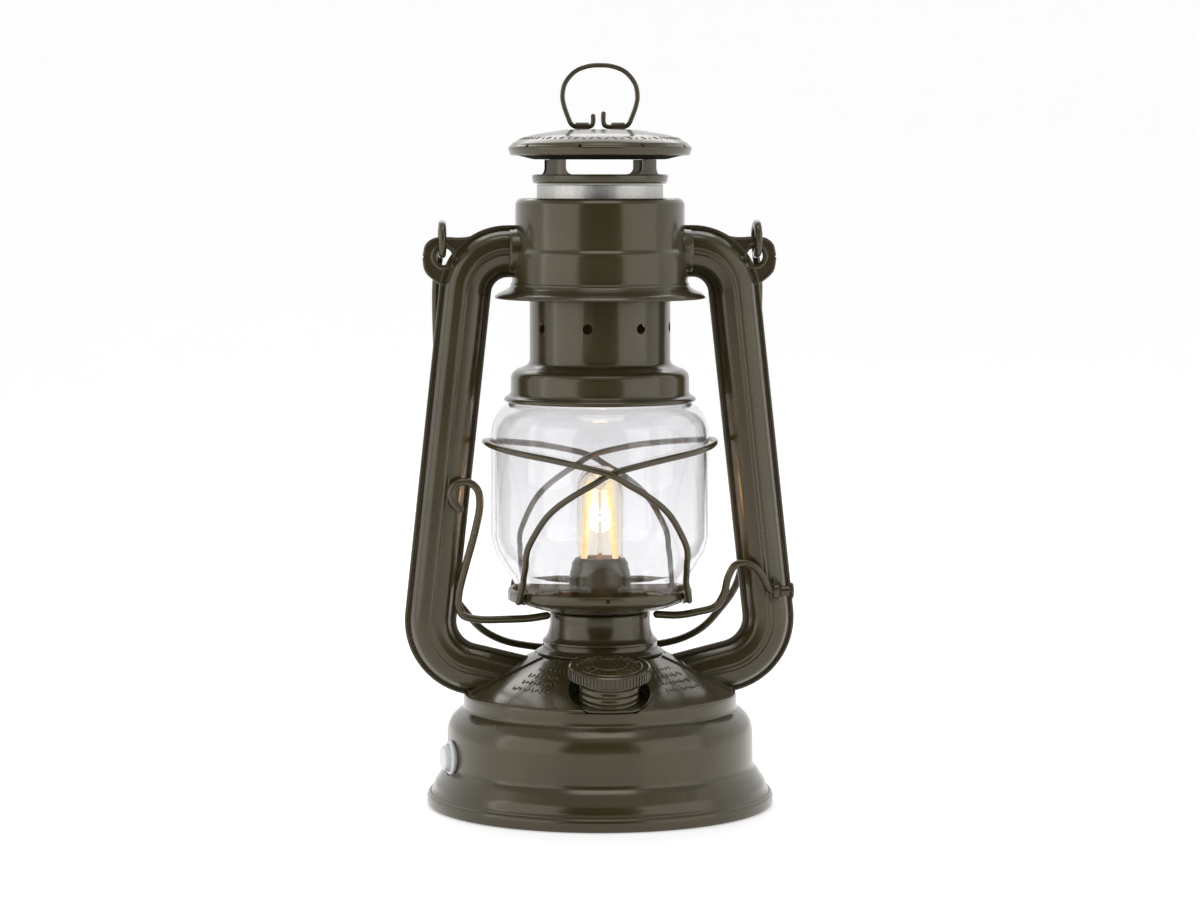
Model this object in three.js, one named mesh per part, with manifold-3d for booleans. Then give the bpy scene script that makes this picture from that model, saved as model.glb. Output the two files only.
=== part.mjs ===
// A barn lantern of pressed steel with an electric lamp: fount and base, two side tubes, canopy,
// globe carrier with its guard wires, lifting hood, bail, lift lever, filler cap and push switch.
// Millimetres, +Z up, origin at the centre of the base's underside, +X right, +Y to the rear.
import * as THREE from "three";
import { mergeVertices } from "three/addons/utils/BufferGeometryUtils.js";
import Module from "manifold-3d";

const wasm = await Module();
wasm.setup();

// ---- Driving dimensions

const SHEET = 0.6; // pressed steel sheet
const GAP = 0.3; // clearance between pieces that touch
const ROUND = 24; // facets of a large round piece
const SMALL_ROUND = 16; // facets of a small round piece
const WIRE_SIDES = 6;
const DEG = Math.PI / 180;

const BASE = { radius: 65.6, rimHeight: 5, plateLow: 1.6, plateTop: 2.4, footWidth: 3.3 };
const FOUNT = { bodyRadius: 57.9, deckRadius: 51.7, deckEdge: 41.9, deckTop: 58.1, holeRadius: 20.9 };
const COLLAR = { radius: 21.6, footRadius: 24.1, top: 62.6, bore: 19.6 };
const NECK = { radius: 19.2, top: 73, bore: 13 };
const LAMP = { domeRadius: 12.6, domeTop: 94, bulbRadius: 8.8, bulbFoot: 86.5, bulbTop: 128 };
const GLOBE = { radius: 41.2, foot: 78.4, top: 156.5, wall: 1.7 };
const PLATE = { radius: 33.9, bore: 13.5, low: 73.3, rim: 82 };
const SKIRT = { beadRadius: 36.5, beadHeight: 153.6, radius: 33.6, top: 163 };
const CHIMNEY = { radius: 26.5, top: 202.4, holes: 8, holeRadius: 1.9, holeHeight: 180.6 };
const FLUE = { radius: 23.7, foot: 199, top: 233.9 };
const CANOPY = { radius: 31.8, bandRadius: 33.1, flareRadius: 39.8, foot: 191.8, top: 228.6, bore: 24.6 };
const CROWN = { radius: 23.7, flangeRadius: 25.4, foot: 234.2, sill: 237.7, top: 243, legCentre: 47.2, legAngle: 20.4 };
const CAP = { radius: 34.5, rimLow: 244.9, crease: 247.6, top: 254.8, dish: 254, underside: 243.3 };
const RING = { wire: 1.8, pivot: 255.5, halfWidth: 14.1, widest: 266.8, top: 278.4 };

const TUBE = {
  halfDepth: 7.5,
  halfWidth: 9.7,
  wallWidth: 8.2,
  topCentre: [34.8, 193],
  topRadius: 16,
  lowCentre: [45.15, 70],
  lowRadius: 19,
  tilt: 6.2 * DEG,
  armSlope: 14 * DEG,
  end: 22,
};
const EAR = { x: 58.6, z: 207, hole: 3.1, outer: 66.2, top: 214.2 };

const BAIL = { wire: 2.9, hookX: 59.3, hookZ: 213.4, hookRadius: 5.85, lean: 9.84 * DEG };
const GUARD = { wire: 2.4, radius: 43.3, clearance: 2.1 };
const GUIDE = { wire: 2.9, face: -9.7 };
const LEVER = { wire: 2.9, pivotX: 65.6, pivotZ: 81, face: -9.7, eyeletBore: 2.2 };

const FILLER = { y: -38.5, z: 44.7, tilt: 11 * DEG, neckRadius: 11.2, neckTop: 11.7, wellRadius: 15.7 };
const FILLER_CAP = { radius: 15.3, low: 9, top: 13.2, bore: 12.3 };
const SWITCH = { angle: -78, z: 19.6, bezelRadius: 6.4, buttonRadius: 4.9, reach: 62.2 };
const CELL = { radius: 9.2, length: 65, y: 11, z: 14.3 };
const SCREW = { head: 2.8, shank: 1.5, places: [[-28, 0], [26, 15], [26, -15]] };

// ---- Finishes

function finish(color, roughness, metalness, extra = {}) {
  return new THREE.MeshStandardMaterial({ color, roughness, metalness, ...extra });
}
const olivePaint = finish(0x4a4632, 0.32, 0.25);
const galvanised = finish(0xa9abaa, 0.42, 0.9);
const clearGlass = finish(0xe8eeee, 0.05, 0, { transparent: true, opacity: 0.35 });
const glowingFilament = finish(0xffd9a0, 0.5, 0, { emissive: 0xffb45a });
const lampMetal = finish(0x8d8a80, 0.4, 0.8);
const switchPlastic = finish(0xd9dbdc, 0.4, 0);
const blackPlastic = finish(0x1b1c1d, 0.55, 0);
const boardGreen = finish(0x1f4d33, 0.5, 0);
const sealRubber = finish(0x202020, 0.8, 0);

// ---- Shape helpers

// Merges a geometry's shared corners, drops faces of no area and turns the rest to face outwards.
function closed(geometry) {
  geometry.deleteAttribute("normal");
  geometry.deleteAttribute("uv");
  const merged = mergeVertices(geometry, 1e-3);
  const place = merged.getAttribute("position");
  const corner = (i) => new THREE.Vector3().fromBufferAttribute(place, i);
  let faces = [];
  for (let i = 0; i < merged.index.count; i += 3) {
    const [a, b, c] = [0, 1, 2].map((k) => merged.index.getX(i + k));
    if (a !== b && b !== c && c !== a) faces.push([a, b, c]);
  }
  const volume = faces.reduce((sum, [a, b, c]) => sum + corner(a).dot(corner(b).cross(corner(c))), 0);
  if (volume < 0) faces = faces.map(([a, b, c]) => [a, c, b]);
  merged.setIndex(faces.flat());
  merged.computeVertexNormals();
  return merged;
}

function asSolid(geometry) {
  const mesh = new wasm.Mesh({
    numProp: 3,
    vertProperties: new Float32Array(geometry.getAttribute("position").array),
    triVerts: new Uint32Array(geometry.index.array),
  });
  return new wasm.Manifold(mesh);
}

function asGeometry(solid) {
  const mesh = solid.getMesh();
  const geometry = new THREE.BufferGeometry();
  geometry.setAttribute("position", new THREE.BufferAttribute(mesh.vertProperties, 3));
  geometry.setIndex(new THREE.BufferAttribute(mesh.triVerts, 1));
  geometry.computeVertexNormals();
  return geometry;
}

function cut(geometry, ...tools) {
  return asGeometry(tools.reduce((solid, tool) => solid.subtract(asSolid(tool)), asSolid(geometry)));
}

function keepInside(geometry, room) {
  return asGeometry(asSolid(geometry).intersect(asSolid(room)));
}

function joined(...geometries) {
  return asGeometry(geometries.map(asSolid).reduce((whole, piece) => whole.add(piece)));
}

// A solid of revolution about Z from its closed outline of [radius, height] points.
function turned(outline, facets = ROUND) {
  const points = outline.map(([r, z]) => new THREE.Vector2(r, z));
  points.push(points[0].clone());
  const geometry = new THREE.LatheGeometry(points, facets);
  geometry.rotateX(90 * DEG);
  return closed(geometry);
}

// The line that runs a thickness to the left of an open outline, mitred at its corners.
function offsetLine(outline, thickness) {
  const points = outline.map(([r, z]) => new THREE.Vector2(r, z));
  const normals = points.slice(1).map((point, i) => {
    const along = point.clone().sub(points[i]).normalize();
    return new THREE.Vector2(-along.y, along.x);
  });
  return points.map((point, i) => {
    const before = normals[Math.max(i - 1, 0)];
    const after = normals[Math.min(i, normals.length - 1)];
    const mitre = before.clone().add(after).normalize();
    const shifted = point.clone().addScaledVector(mitre, thickness / mitre.dot(after));
    return [Math.max(shifted.x, 0), shifted.y];
  });
}

// A pressed sheet of revolution: the outer face's outline, from foot to top, given its thickness inwards.
function pressed(outline, thickness = SHEET, facets = ROUND) {
  return turned([...outline, ...offsetLine(outline, thickness).reverse()], facets);
}

function cylinder(radius, low, high, facets = SMALL_ROUND) {
  return turned([[0, low], [radius, low], [radius, high], [0, high]], facets);
}

function box(x, y, z, width, depth, height) {
  const geometry = new THREE.BoxGeometry(width, depth, height).translate(x, y, z);
  return closed(geometry);
}

// The corners of a regular polygon, or of one stretched to an ellipse, about a centre.
function roundCorners(sides, width, height = width, [x, y] = [0, 0]) {
  return Array.from({ length: sides }, (_, i) => {
    const angle = (i / sides) * 2 * Math.PI;
    return new THREE.Vector2(x + width * Math.cos(angle), y + height * Math.sin(angle));
  });
}

// A round wire along a smooth curve through its centre-line points.
function wire(points, diameter, steps, sides = WIRE_SIDES) {
  const places = points.map((p) => new THREE.Vector3(...p));
  const extrudePath = new THREE.CatmullRomCurve3(places, false, "centripetal");
  const section = new THREE.Shape(roundCorners(sides, diameter / 2));
  return closed(new THREE.ExtrudeGeometry(section, { steps, bevelEnabled: false, extrudePath }));
}

// A flat plate in the X-Z plane, from its outline, between two depths along Y.
function platePiece(shape, yLow, yHigh) {
  const geometry = new THREE.ExtrudeGeometry(shape, { depth: yHigh - yLow, bevelEnabled: false, curveSegments: 6 });
  geometry.rotateX(90 * DEG);
  geometry.translate(0, yHigh, 0);
  return closed(geometry);
}

function mirroredX(geometry) {
  return closed(geometry.clone().scale(-1, 1, 1));
}

const lantern = new THREE.Group();

function addPart(name, geometry, material, parent = lantern) {
  const mesh = new THREE.Mesh(geometry, material);
  mesh.name = name;
  parent.add(mesh);
}

// ---- Base and fount

const deckOutline = [
  [FOUNT.deckRadius - 0.6, FOUNT.deckEdge + 0.6],
  [38, 49.7],
  [24, 56.9],
  [FOUNT.holeRadius, FOUNT.deckTop],
];

const fountOutline = [
  [64.1, 2.9],
  [64.1, 5.2],
  [62.6, 8.6],
  [59.6, 13.2],
  [FOUNT.bodyRadius, 15.2],
  [FOUNT.bodyRadius, 29],
  [55.8, 33.5],
  [FOUNT.deckRadius, 36.5],
  [FOUNT.deckRadius, FOUNT.deckEdge],
  ...deckOutline,
];

// The room below the deck's outer face, raised by a clearance.
function roomUnderDeck(clearance) {
  const raised = deckOutline.map(([r, z]) => [r, z + clearance]);
  const edge = FOUNT.deckRadius + clearance;
  return turned([[0, 10], [edge, 10], [edge, FOUNT.deckEdge], ...raised, [0, FOUNT.deckTop + clearance]]);
}

function inFillerFrame(geometry) {
  return geometry.clone().rotateX(FILLER.tilt).translate(0, FILLER.y, FILLER.z);
}

function inSwitchFrame(geometry) {
  const outward = (SWITCH.angle - 90) * DEG;
  return geometry.clone().rotateY(90 * DEG).rotateZ(outward).translate(0, 0, SWITCH.z);
}

addPart(
  "base_plate",
  cut(
    turned([
      [0, BASE.plateLow],
      [BASE.radius - BASE.footWidth - 1.2, BASE.plateLow],
      [BASE.radius - BASE.footWidth - 0.5, 0],
      [BASE.radius - 0.5, 0],
      [BASE.radius, 0.6],
      [BASE.radius, BASE.rimHeight - 0.4],
      [BASE.radius - 0.5, BASE.rimHeight],
      [64.5, BASE.rimHeight],
      [64.5, BASE.plateTop],
      [0, BASE.plateTop],
    ]),
    ...SCREW.places.map(([x, y]) => cylinder(SCREW.shank + GAP, 0, 4, 8).translate(x, y, 0)),
  ),
  olivePaint,
);

addPart(
  "fount_shell",
  cut(
    pressed(fountOutline),
    inFillerFrame(cylinder(FILLER.wellRadius + GAP, -0.9, 20)),
    inSwitchFrame(cylinder(6.2, 50, 60)),
    inSwitchFrame(cylinder(SWITCH.bezelRadius + GAP, 58, 62)),
    box(0, FOUNT.bodyRadius, 21, 10, 6, 4.4),
  ),
  olivePaint,
);

const wellCup = turned(
  [
    [FILLER.neckRadius + GAP, -SHEET],
    [FILLER.wellRadius, -SHEET],
    [FILLER.wellRadius, 16],
    [FILLER.wellRadius - SHEET, 16],
    [FILLER.wellRadius - SHEET, 0],
    [FILLER.neckRadius + GAP, 0],
  ],
  SMALL_ROUND,
);
const insideBand = turned([
  [0, 30],
  [FOUNT.deckRadius - SHEET - GAP, 30],
  [FOUNT.deckRadius - SHEET - GAP, FOUNT.deckEdge + 0.8],
  ...deckOutline.slice(1),
  [0, FOUNT.deckTop],
]);
addPart("filler_well", keepInside(inFillerFrame(wellCup), insideBand), olivePaint);

const threadRidges = [2.2, 4.8, 7.4].flatMap((height) => [
  [FILLER.neckRadius - 0.5, height - 0.8],
  [FILLER.neckRadius, height],
  [FILLER.neckRadius - 0.5, height + 0.8],
]);
addPart(
  "filler_neck",
  inFillerFrame(
    turned(
      [
        [FILLER.neckRadius, -3],
        [FILLER.neckRadius, 0.6],
        ...threadRidges,
        [FILLER.neckRadius - 0.5, FILLER.neckTop],
        [FILLER.neckRadius - 1.6, FILLER.neckTop],
        [FILLER.neckRadius - 1.6, -3],
      ],
      SMALL_ROUND,
    ),
  ),
  olivePaint,
);

addPart(
  "filler_cap",
  inFillerFrame(
    turned(
      [
        [FILLER_CAP.bore, FILLER_CAP.low],
        [FILLER_CAP.radius - 0.4, FILLER_CAP.low],
        [FILLER_CAP.radius, FILLER_CAP.low + 0.4],
        [FILLER_CAP.radius, FILLER_CAP.top - 0.5],
        [FILLER_CAP.radius - 0.6, FILLER_CAP.top],
        [0, FILLER_CAP.top + 0.6],
        [0, FILLER_CAP.top - 0.4],
        [FILLER_CAP.bore, FILLER_CAP.top - 0.4],
      ],
      ROUND,
    ),
  ),
  olivePaint,
);

addPart(
  "cap_seal",
  inFillerFrame(
    turned([[9, 12], [FILLER_CAP.bore - GAP, 12], [FILLER_CAP.bore - GAP, 12.5], [9, 12.5]], SMALL_ROUND),
  ),
  sealRubber,
);

// ---- Collar, neck and lamp

addPart(
  "burner_collar",
  turned([
    [COLLAR.bore, 55.5],
    [20.5, 55.5],
    [20.5, 58.9],
    [COLLAR.footRadius - 0.2, 57.4],
    [COLLAR.footRadius, 57.8],
    [COLLAR.radius, 59.4],
    [COLLAR.radius, COLLAR.top],
    [COLLAR.bore, COLLAR.top],
  ]),
  olivePaint,
);

addPart(
  "burner_neck",
  pressed([[NECK.radius, COLLAR.top + GAP], [NECK.radius, NECK.top], [NECK.bore, NECK.top]]),
  olivePaint,
);

addPart(
  "lamp_dome",
  pressed(
    [[LAMP.domeRadius, 68], [LAMP.domeRadius, 87], [11.9, 90.5], [10.4, 93], [LAMP.bulbRadius + 0.8, LAMP.domeTop]],
    SHEET,
    SMALL_ROUND,
  ),
  olivePaint,
);
addPart("lamp_holder", cylinder(8.4, 78, LAMP.bulbFoot - GAP, 12), lampMetal);
addPart(
  "lamp_bulb",
  pressed(
    [
      [LAMP.bulbRadius, LAMP.bulbFoot],
      [LAMP.bulbRadius, 120.5],
      [7.6, 124.8],
      [4.6, 127.3],
      [0, LAMP.bulbTop],
    ],
    SHEET,
    SMALL_ROUND,
  ),
  clearGlass,
);
addPart("filament_stem", cylinder(0.8, LAMP.bulbFoot, 119, 6), clearGlass);
addPart("filament_left", wire([[-6, 0, 93], [-4.3, 0, 121.5]], 1.5, 1), glowingFilament);
addPart("filament_right", wire([[5.8, 0, 93], [3.6, 0, 121.5]], 1.5, 1), glowingFilament);
addPart("lamp_lead", wire([[0, 0, 27.8], [5, 0, 45], [-3, 2, 62], [0, 0, 77.6]], 1.6, 8), blackPlastic);

// ---- Power pack, charge socket and switch

for (const [side, name] of [[-1, "battery_cell_front"], [1, "battery_cell_rear"]]) {
  const cell = cylinder(CELL.radius, -CELL.length / 2, CELL.length / 2, 12).rotateY(90 * DEG);
  addPart(name, cell.translate(0, side * CELL.y, CELL.z), galvanised);
}
addPart(
  "battery_tray",
  cut(
    box(0, 0, 7, 72, 46, 8),
    box(0, 0, 8.6, 69, 43, 8),
    ...SCREW.places.map(([x, y]) => cylinder(SCREW.shank + GAP, 0, 9, 8).translate(x, y, 0)),
  ),
  blackPlastic,
);
SCREW.places.forEach(([x, y], i) => {
  const outline = [[0, 0.5], [SCREW.head, 0.5], [SCREW.head, 1.3], [SCREW.shank, 1.3], [SCREW.shank, 4.7], [0, 4.7]];
  addPart(`base_screw_${i + 1}`, turned(outline, 8).translate(x, y, 0), galvanised);
});
addPart("driver_board", box(0, 0, 26.6, 44, 30, 1.6), boardGreen);
addPart(
  "charge_port",
  cut(box(0, 53.8, 21, 9.4, 7.4, 3.8), box(0, 56, 21, 8.2, 6, 2.4)),
  galvanised,
);
addPart(
  "switch_bezel",
  inSwitchFrame(
    turned(
      [[5.2, 50], [5.9, 50], [5.9, 58.3], [SWITCH.bezelRadius, 58.3], [SWITCH.bezelRadius - 0.2, 59.4], [5.2, 59.4]],
      SMALL_ROUND,
    ),
  ),
  switchPlastic,
);
addPart(
  "switch_button",
  inSwitchFrame(
    turned(
      [
        [0, 52],
        [SWITCH.buttonRadius, 52],
        [SWITCH.buttonRadius, SWITCH.reach - 0.8],
        [SWITCH.buttonRadius - 0.8, SWITCH.reach],
        [0, SWITCH.reach],
      ],
      SMALL_ROUND,
    ),
  ),
  switchPlastic,
);
addPart("switch_body", inSwitchFrame(box(0, 0, 46.6, 12, 12, 6)), blackPlastic);

// ---- Side tubes: each is two pressed halves seamed together along their flanges

// A path of given stations, one step of the extrusion from each to the next.
class StationPath extends THREE.Curve {
  constructor(stations) {
    super();
    this.stations = stations;
  }
  station(u) {
    return this.stations[Math.round(u * (this.stations.length - 1))];
  }
  getPoint(u) {
    return this.station(u).place.clone();
  }
  getPointAt(u) {
    return this.getPoint(u);
  }
  getTangentAt(u) {
    return this.station(u).heading.clone();
  }
}

// The right tube's centre line in the X-Z plane: out of the canopy, down, and in to the deck.
function tubeStations(bendSteps) {
  const stations = [];
  const add = (x, z, angle) => {
    const heading = new THREE.Vector3(Math.sin(angle), 0, -Math.cos(angle));
    stations.push({ place: new THREE.Vector3(x, 0, z), heading });
  };
  const bend = ([x, z], radius, from, to) => {
    for (let i = 0; i <= bendSteps; i += 1) {
      const angle = from + ((to - from) * i) / bendSteps;
      add(x + radius * Math.cos(angle), z + radius * Math.sin(angle), angle);
    }
  };
  const top = 90 * DEG;
  const last = -(90 * DEG - TUBE.armSlope);
  bend(TUBE.topCentre, TUBE.topRadius, top, TUBE.tilt);
  bend(TUBE.lowCentre, TUBE.lowRadius, TUBE.tilt, last);
  const elbow = stations[stations.length - 1].place;
  const run = elbow.x - TUBE.end;
  add(TUBE.end, elbow.z - run * Math.tan(TUBE.armSlope), last);
  return stations;
}

const halfTubeSection = [
  [0.15, -TUBE.halfWidth],
  [0.8, -TUBE.halfWidth],
  [0.8, -TUBE.wallWidth],
  [4.2, -7.4],
  [6.7, -5],
  [TUBE.halfDepth, 0],
  [6.7, 5],
  [4.2, 7.4],
  [0.8, TUBE.wallWidth],
  [0.8, TUBE.halfWidth],
  [0.15, TUBE.halfWidth],
  [0.15, 7.6],
  [3.8, 6.7],
  [6.1, 4.6],
  [6.9, 0],
  [6.1, -4.6],
  [3.8, -6.7],
  [0.15, -7.6],
];

// One pressed half of the right tube; side is -1 for the front half and +1 for the rear one.
function halfTube(side) {
  const stations = tubeStations(7);
  const extrudePath = new StationPath(stations);
  const corners = halfTubeSection.map(([depth, across]) => new THREE.Vector2(-side * depth, across));
  const steps = stations.length - 1;
  const geometry = new THREE.ExtrudeGeometry(new THREE.Shape(corners), { steps, bevelEnabled: false, extrudePath });
  return closed(geometry);
}

// The web that joins each half's outer flange to the bail's ear.
function earPlate(side) {
  const bendPoint = (angle, radius) => [
    TUBE.topCentre[0] + radius * Math.cos(angle * DEG),
    TUBE.topCentre[1] + radius * Math.sin(angle * DEG),
  ];
  const inFlange = TUBE.topRadius + 8.8;
  const shape = new THREE.Shape();
  shape.moveTo(...bendPoint(62, inFlange));
  for (const angle of [50, 38, 26, 14]) shape.lineTo(...bendPoint(angle, inFlange));
  shape.lineTo(60.8, 197.5);
  shape.lineTo(EAR.outer - 1, EAR.z - 4.2);
  shape.lineTo(EAR.outer, EAR.z);
  shape.lineTo(EAR.outer - 1, EAR.z + 4.2);
  shape.lineTo(EAR.outer - 4.2, EAR.top - 0.6);
  shape.lineTo(EAR.outer - 8, EAR.top);
  shape.lineTo(51, EAR.top);
  shape.closePath();
  const [low, high] = side < 0 ? [-0.8, -0.15] : [0.15, 0.8];
  return platePiece(shape, low, high);
}

const deckKeepOut = roomUnderDeck(0.4);
const earDrill = cylinder(EAR.hole, -2, 2, 12).rotateX(90 * DEG).translate(EAR.x, 0, EAR.z);

for (const [side, half] of [[-1, "front"], [1, "rear"]]) {
  const tube = cut(joined(halfTube(side), earPlate(side)), deckKeepOut, earDrill);
  addPart(`right_tube_${half}`, tube, olivePaint);
  addPart(`left_tube_${half}`, mirroredX(tube), olivePaint);
}

// The room that the right tube fills, with a clearance all round.
function tubeRoom() {
  const stations = tubeStations(7);
  const steps = stations.length - 1;
  const extrudePath = new StationPath(stations);
  const depth = TUBE.halfDepth + GAP;
  const width = TUBE.halfWidth + GAP;
  const quarter = [[depth, 3.6], [7, 5.6], [4.6, 8], [1.2, width]];
  const outer = [...quarter, ...quarter.map(([u, v]) => [-u, v]).reverse()];
  const corners = [...outer, ...outer.map(([u, v]) => [u, -v]).reverse()];
  const section = new THREE.Shape(corners.map(([u, v]) => new THREE.Vector2(u, v)));
  return closed(new THREE.ExtrudeGeometry(section, { steps, bevelEnabled: false, extrudePath }));
}

// The saddle round a tube's foot, lying on the deck's slope.
const saddleLow = deckOutline.slice(0, 3).map(([r, z]) => [r, z + GAP]);
const saddleHigh = saddleLow.map(([r, z]) => [r, z + 0.8]).reverse();
const saddle = cut(
  keepInside(turned([...saddleLow, ...saddleHigh]), box(38.4, 0, 50, 27.4, 19, 30)),
  tubeRoom(),
);
addPart("right_tube_foot", saddle, olivePaint);
addPart("left_tube_foot", mirroredX(saddle), olivePaint);

// Turns a shape drawn in its own plane, and its depth, from (across, up, depth) to (depth, across, up).
function standingAcrossX(shape, depth, curveSegments = 4) {
  const geometry = new THREE.ExtrudeGeometry(shape, { depth, bevelEnabled: false, curveSegments });
  return closed(geometry.rotateX(90 * DEG).rotateZ(90 * DEG));
}

// The soldered ring that carries a tube's upper end on the canopy.
const tubeHeight = TUBE.topCentre[1] + TUBE.topRadius;
const ferruleShape = new THREE.Shape(roundCorners(12, 8.3, 10, [0, tubeHeight]));
ferruleShape.holes.push(new THREE.Path(roundCorners(8, 5.6, 7.2, [0, tubeHeight])));
const beyondCanopy = turned([
  [0, 180],
  [CANOPY.bandRadius + GAP, 180],
  [CANOPY.bandRadius + GAP, 208.8],
  [CANOPY.radius + GAP, 210],
  [CANOPY.radius + GAP, 240],
  [0, 240],
]);
const ferrule = cut(standingAcrossX(ferruleShape, 5).translate(29.4, 0, 0), beyondCanopy);
addPart("right_tube_ferrule", ferrule, olivePaint);
addPart("left_tube_ferrule", mirroredX(ferrule), olivePaint);

// ---- Canopy

const tubePort = cylinder(5.5, 26, 40, 10).rotateY(90 * DEG).translate(0, 0, tubeHeight);
addPart(
  "canopy",
  cut(
    pressed([
      [CANOPY.flareRadius, CANOPY.foot],
      [34, 195.3],
      [CANOPY.bandRadius, 196.6],
      [CANOPY.bandRadius, 208.4],
      [CANOPY.radius, 209.6],
      [CANOPY.radius, 225],
      [30.5, CANOPY.top],
      [CANOPY.bore, CANOPY.top + GAP],
    ]),
    tubePort,
    mirroredX(tubePort),
  ),
  olivePaint,
);

// ---- Globe carrier: plate, glass, guard wires and guide wire

const glassOutline = [
  [30.2, GLOBE.foot - 0.4],
  [31.2, 81],
  [33.5, 86],
  [35.8, 89],
  [39.7, 95.5],
  [GLOBE.radius, 101],
  [GLOBE.radius, 141],
  [40.4, 144.8],
  [38.4, 148.5],
  [35.6, 151.2],
  [32.6, 153.2],
  [32.2, GLOBE.top],
];
addPart("glass_globe", pressed(glassOutline, GLOBE.wall), clearGlass);
addPart(
  "globe_plate",
  turned([
    [PLATE.bore, PLATE.low],
    [19, PLATE.low],
    [28.2, 75.8],
    [33.3, 78],
    [PLATE.radius, 79.1],
    [PLATE.radius, PLATE.rim - 0.5],
    [PLATE.radius - 0.3, PLATE.rim],
    [33.2, PLATE.rim],
    [33.2, 79.2],
    [32.3, 78.3],
    [28, 76.6],
    [19, 74],
    [PLATE.bore, 74],
  ]),
  olivePaint,
);

// The outer radius of the glass at a height.
function glassRadius(z) {
  const above = Math.max(glassOutline.findIndex((point) => point[1] >= z), 1);
  const [[r0, z0], [r1, z1]] = [glassOutline[above - 1], glassOutline[above]];
  return r0 + ((r1 - r0) * (z - z0)) / (z1 - z0);
}

// Half of guard wire A, as [degrees round from the front, height], from its foot to the right-hand side.
const guardClimb = [
  [-63, 78.6],
  [-61.5, 81.5],
  [-58, 84.5],
  [-52.9, 88.2],
  [-43, 100.1],
  [-32.5, 111.6],
  [-21.9, 118.4],
  [-7.2, 125.1],
  [3, 129.2],
  [28.5, 133.3],
  [64.3, 136.2],
  [90, 137.3],
];

// A guard wire climbs across the front, rounds one side and falls across the back.
// Where the two cross, at front and back, the outer one stands off by a wire's width.
function guardWire(standOff) {
  const fall = guardClimb.slice(0, -1).map(([angle, z]) => [180 - angle, z]).reverse();
  const line = new THREE.SplineCurve([...guardClimb, ...fall].map((p) => new THREE.Vector2(...p)));
  const points = line.getPoints(44).map(({ x: angle, y: z }) => {
    const fromCrossing = Math.min(Math.abs(angle), Math.abs(angle - 180)) / 16;
    const radius = Math.max(glassRadius(z) + GUARD.clearance, 36.4) + standOff * Math.exp(-(fromCrossing ** 2));
    return [radius * Math.sin(angle * DEG), -radius * Math.cos(angle * DEG), z];
  });
  return wire(points, GUARD.wire, 42);
}
addPart("guard_wire_a", guardWire(0), olivePaint);
addPart("guard_wire_b", mirroredX(guardWire(2.9)), olivePaint);

// The strip that holds the wires' feet on one side of the plate's rim.
const clipRoom = box(40, 0, 80, 40, 35, 10);
const clipRing = turned([[34.3, 77.6], [34.9, 77.6], [34.9, 81.6], [34.3, 81.6]]);
const guardClip = keepInside(clipRing, clipRoom);
addPart("guard_clip_right", guardClip, olivePaint);
addPart("guard_clip_left", mirroredX(guardClip), olivePaint);

addPart(
  "guide_wire",
  wire(
    [
      [-20.6, -6, 72.1],
      [-27, -6.2, 71.2],
      [-36, -6.4, 70.9],
      [-47, -6.5, 71.1],
      [-52.2, -6.6, 72.6],
      [-53.9, -6.8, 76.4],
      [-53.7, -7, 81],
      [-51.6, -7.6, 90],
      [-47.6, -8.8, 105],
      [-45.9, -9.4, 115],
      [-46.8, GUIDE.face, 120.2],
      [-50, GUIDE.face, 122.9],
      [-54.3, GUIDE.face, 122.6],
      [-56.6, GUIDE.face, 119.6],
      [-55.8, GUIDE.face, 115.6],
      [-53.4, GUIDE.face, 113],
    ],
    GUIDE.wire,
    36,
  ),
  olivePaint,
);

// ---- Lift lever and its eyelet

addPart(
  "lift_lever",
  wire(
    [
      [21, -6, 72.1],
      [29.1, -6.2, 71.8],
      [36.6, -6.4, 73],
      [43.2, -6.8, 75],
      [46.4, -7.8, 80.2],
      [47.6, -8.9, 86],
      [50.2, LEVER.face, 90.8],
      [54, LEVER.face, 91.8],
      [57.8, LEVER.face, 90],
      [61, LEVER.face, 86],
      [62.4, LEVER.face, 83],
      [63.9, LEVER.face, LEVER.pivotZ + 0.2],
      [LEVER.pivotX, LEVER.face, LEVER.pivotZ],
      [67, LEVER.face, LEVER.pivotZ],
    ],
    LEVER.wire,
    26,
  ),
  olivePaint,
);
const tabOutline = [[0, 67.4], [1.9, 67.4], [1.9, 71.4], [2.7, 71.6], [2.7, 72.4], [0, 72.4]];
addPart(
  "lever_tab",
  turned(tabOutline, 10).rotateY(90 * DEG).translate(0, LEVER.face, LEVER.pivotZ),
  olivePaint,
);

// A strap bent over a round wire: two feet on the seat and an arch of the given bore, as (across, up).
function strapShape(seat, centre, bore, footReach) {
  const outer = bore + 0.55;
  const shape = new THREE.Shape();
  shape.moveTo(-footReach, seat);
  shape.lineTo(-bore, seat);
  shape.lineTo(-bore, centre);
  shape.absarc(0, centre, bore, Math.PI, 0, true);
  shape.lineTo(bore, seat);
  shape.lineTo(footReach, seat);
  shape.lineTo(footReach, seat + 0.55);
  shape.lineTo(outer, seat + 0.55);
  shape.lineTo(outer, centre);
  shape.absarc(0, centre, outer, 0, Math.PI, false);
  shape.lineTo(-outer, seat + 0.55);
  shape.lineTo(-footReach, seat + 0.55);
  shape.closePath();
  return shape;
}

const eyeletSeat = TUBE.halfDepth + GAP;
const eyelet = new THREE.ExtrudeGeometry(strapShape(eyeletSeat, -LEVER.face, LEVER.eyeletBore, 4.7), {
  depth: 2.2,
  bevelEnabled: false,
  curveSegments: 4,
});
eyelet.rotateY(90 * DEG).rotateX(180 * DEG);
addPart("lever_eyelet", closed(eyelet).translate(64.5, 0, LEVER.pivotZ), olivePaint);

// ---- Hood: chimney, flue, crown and cap

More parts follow.
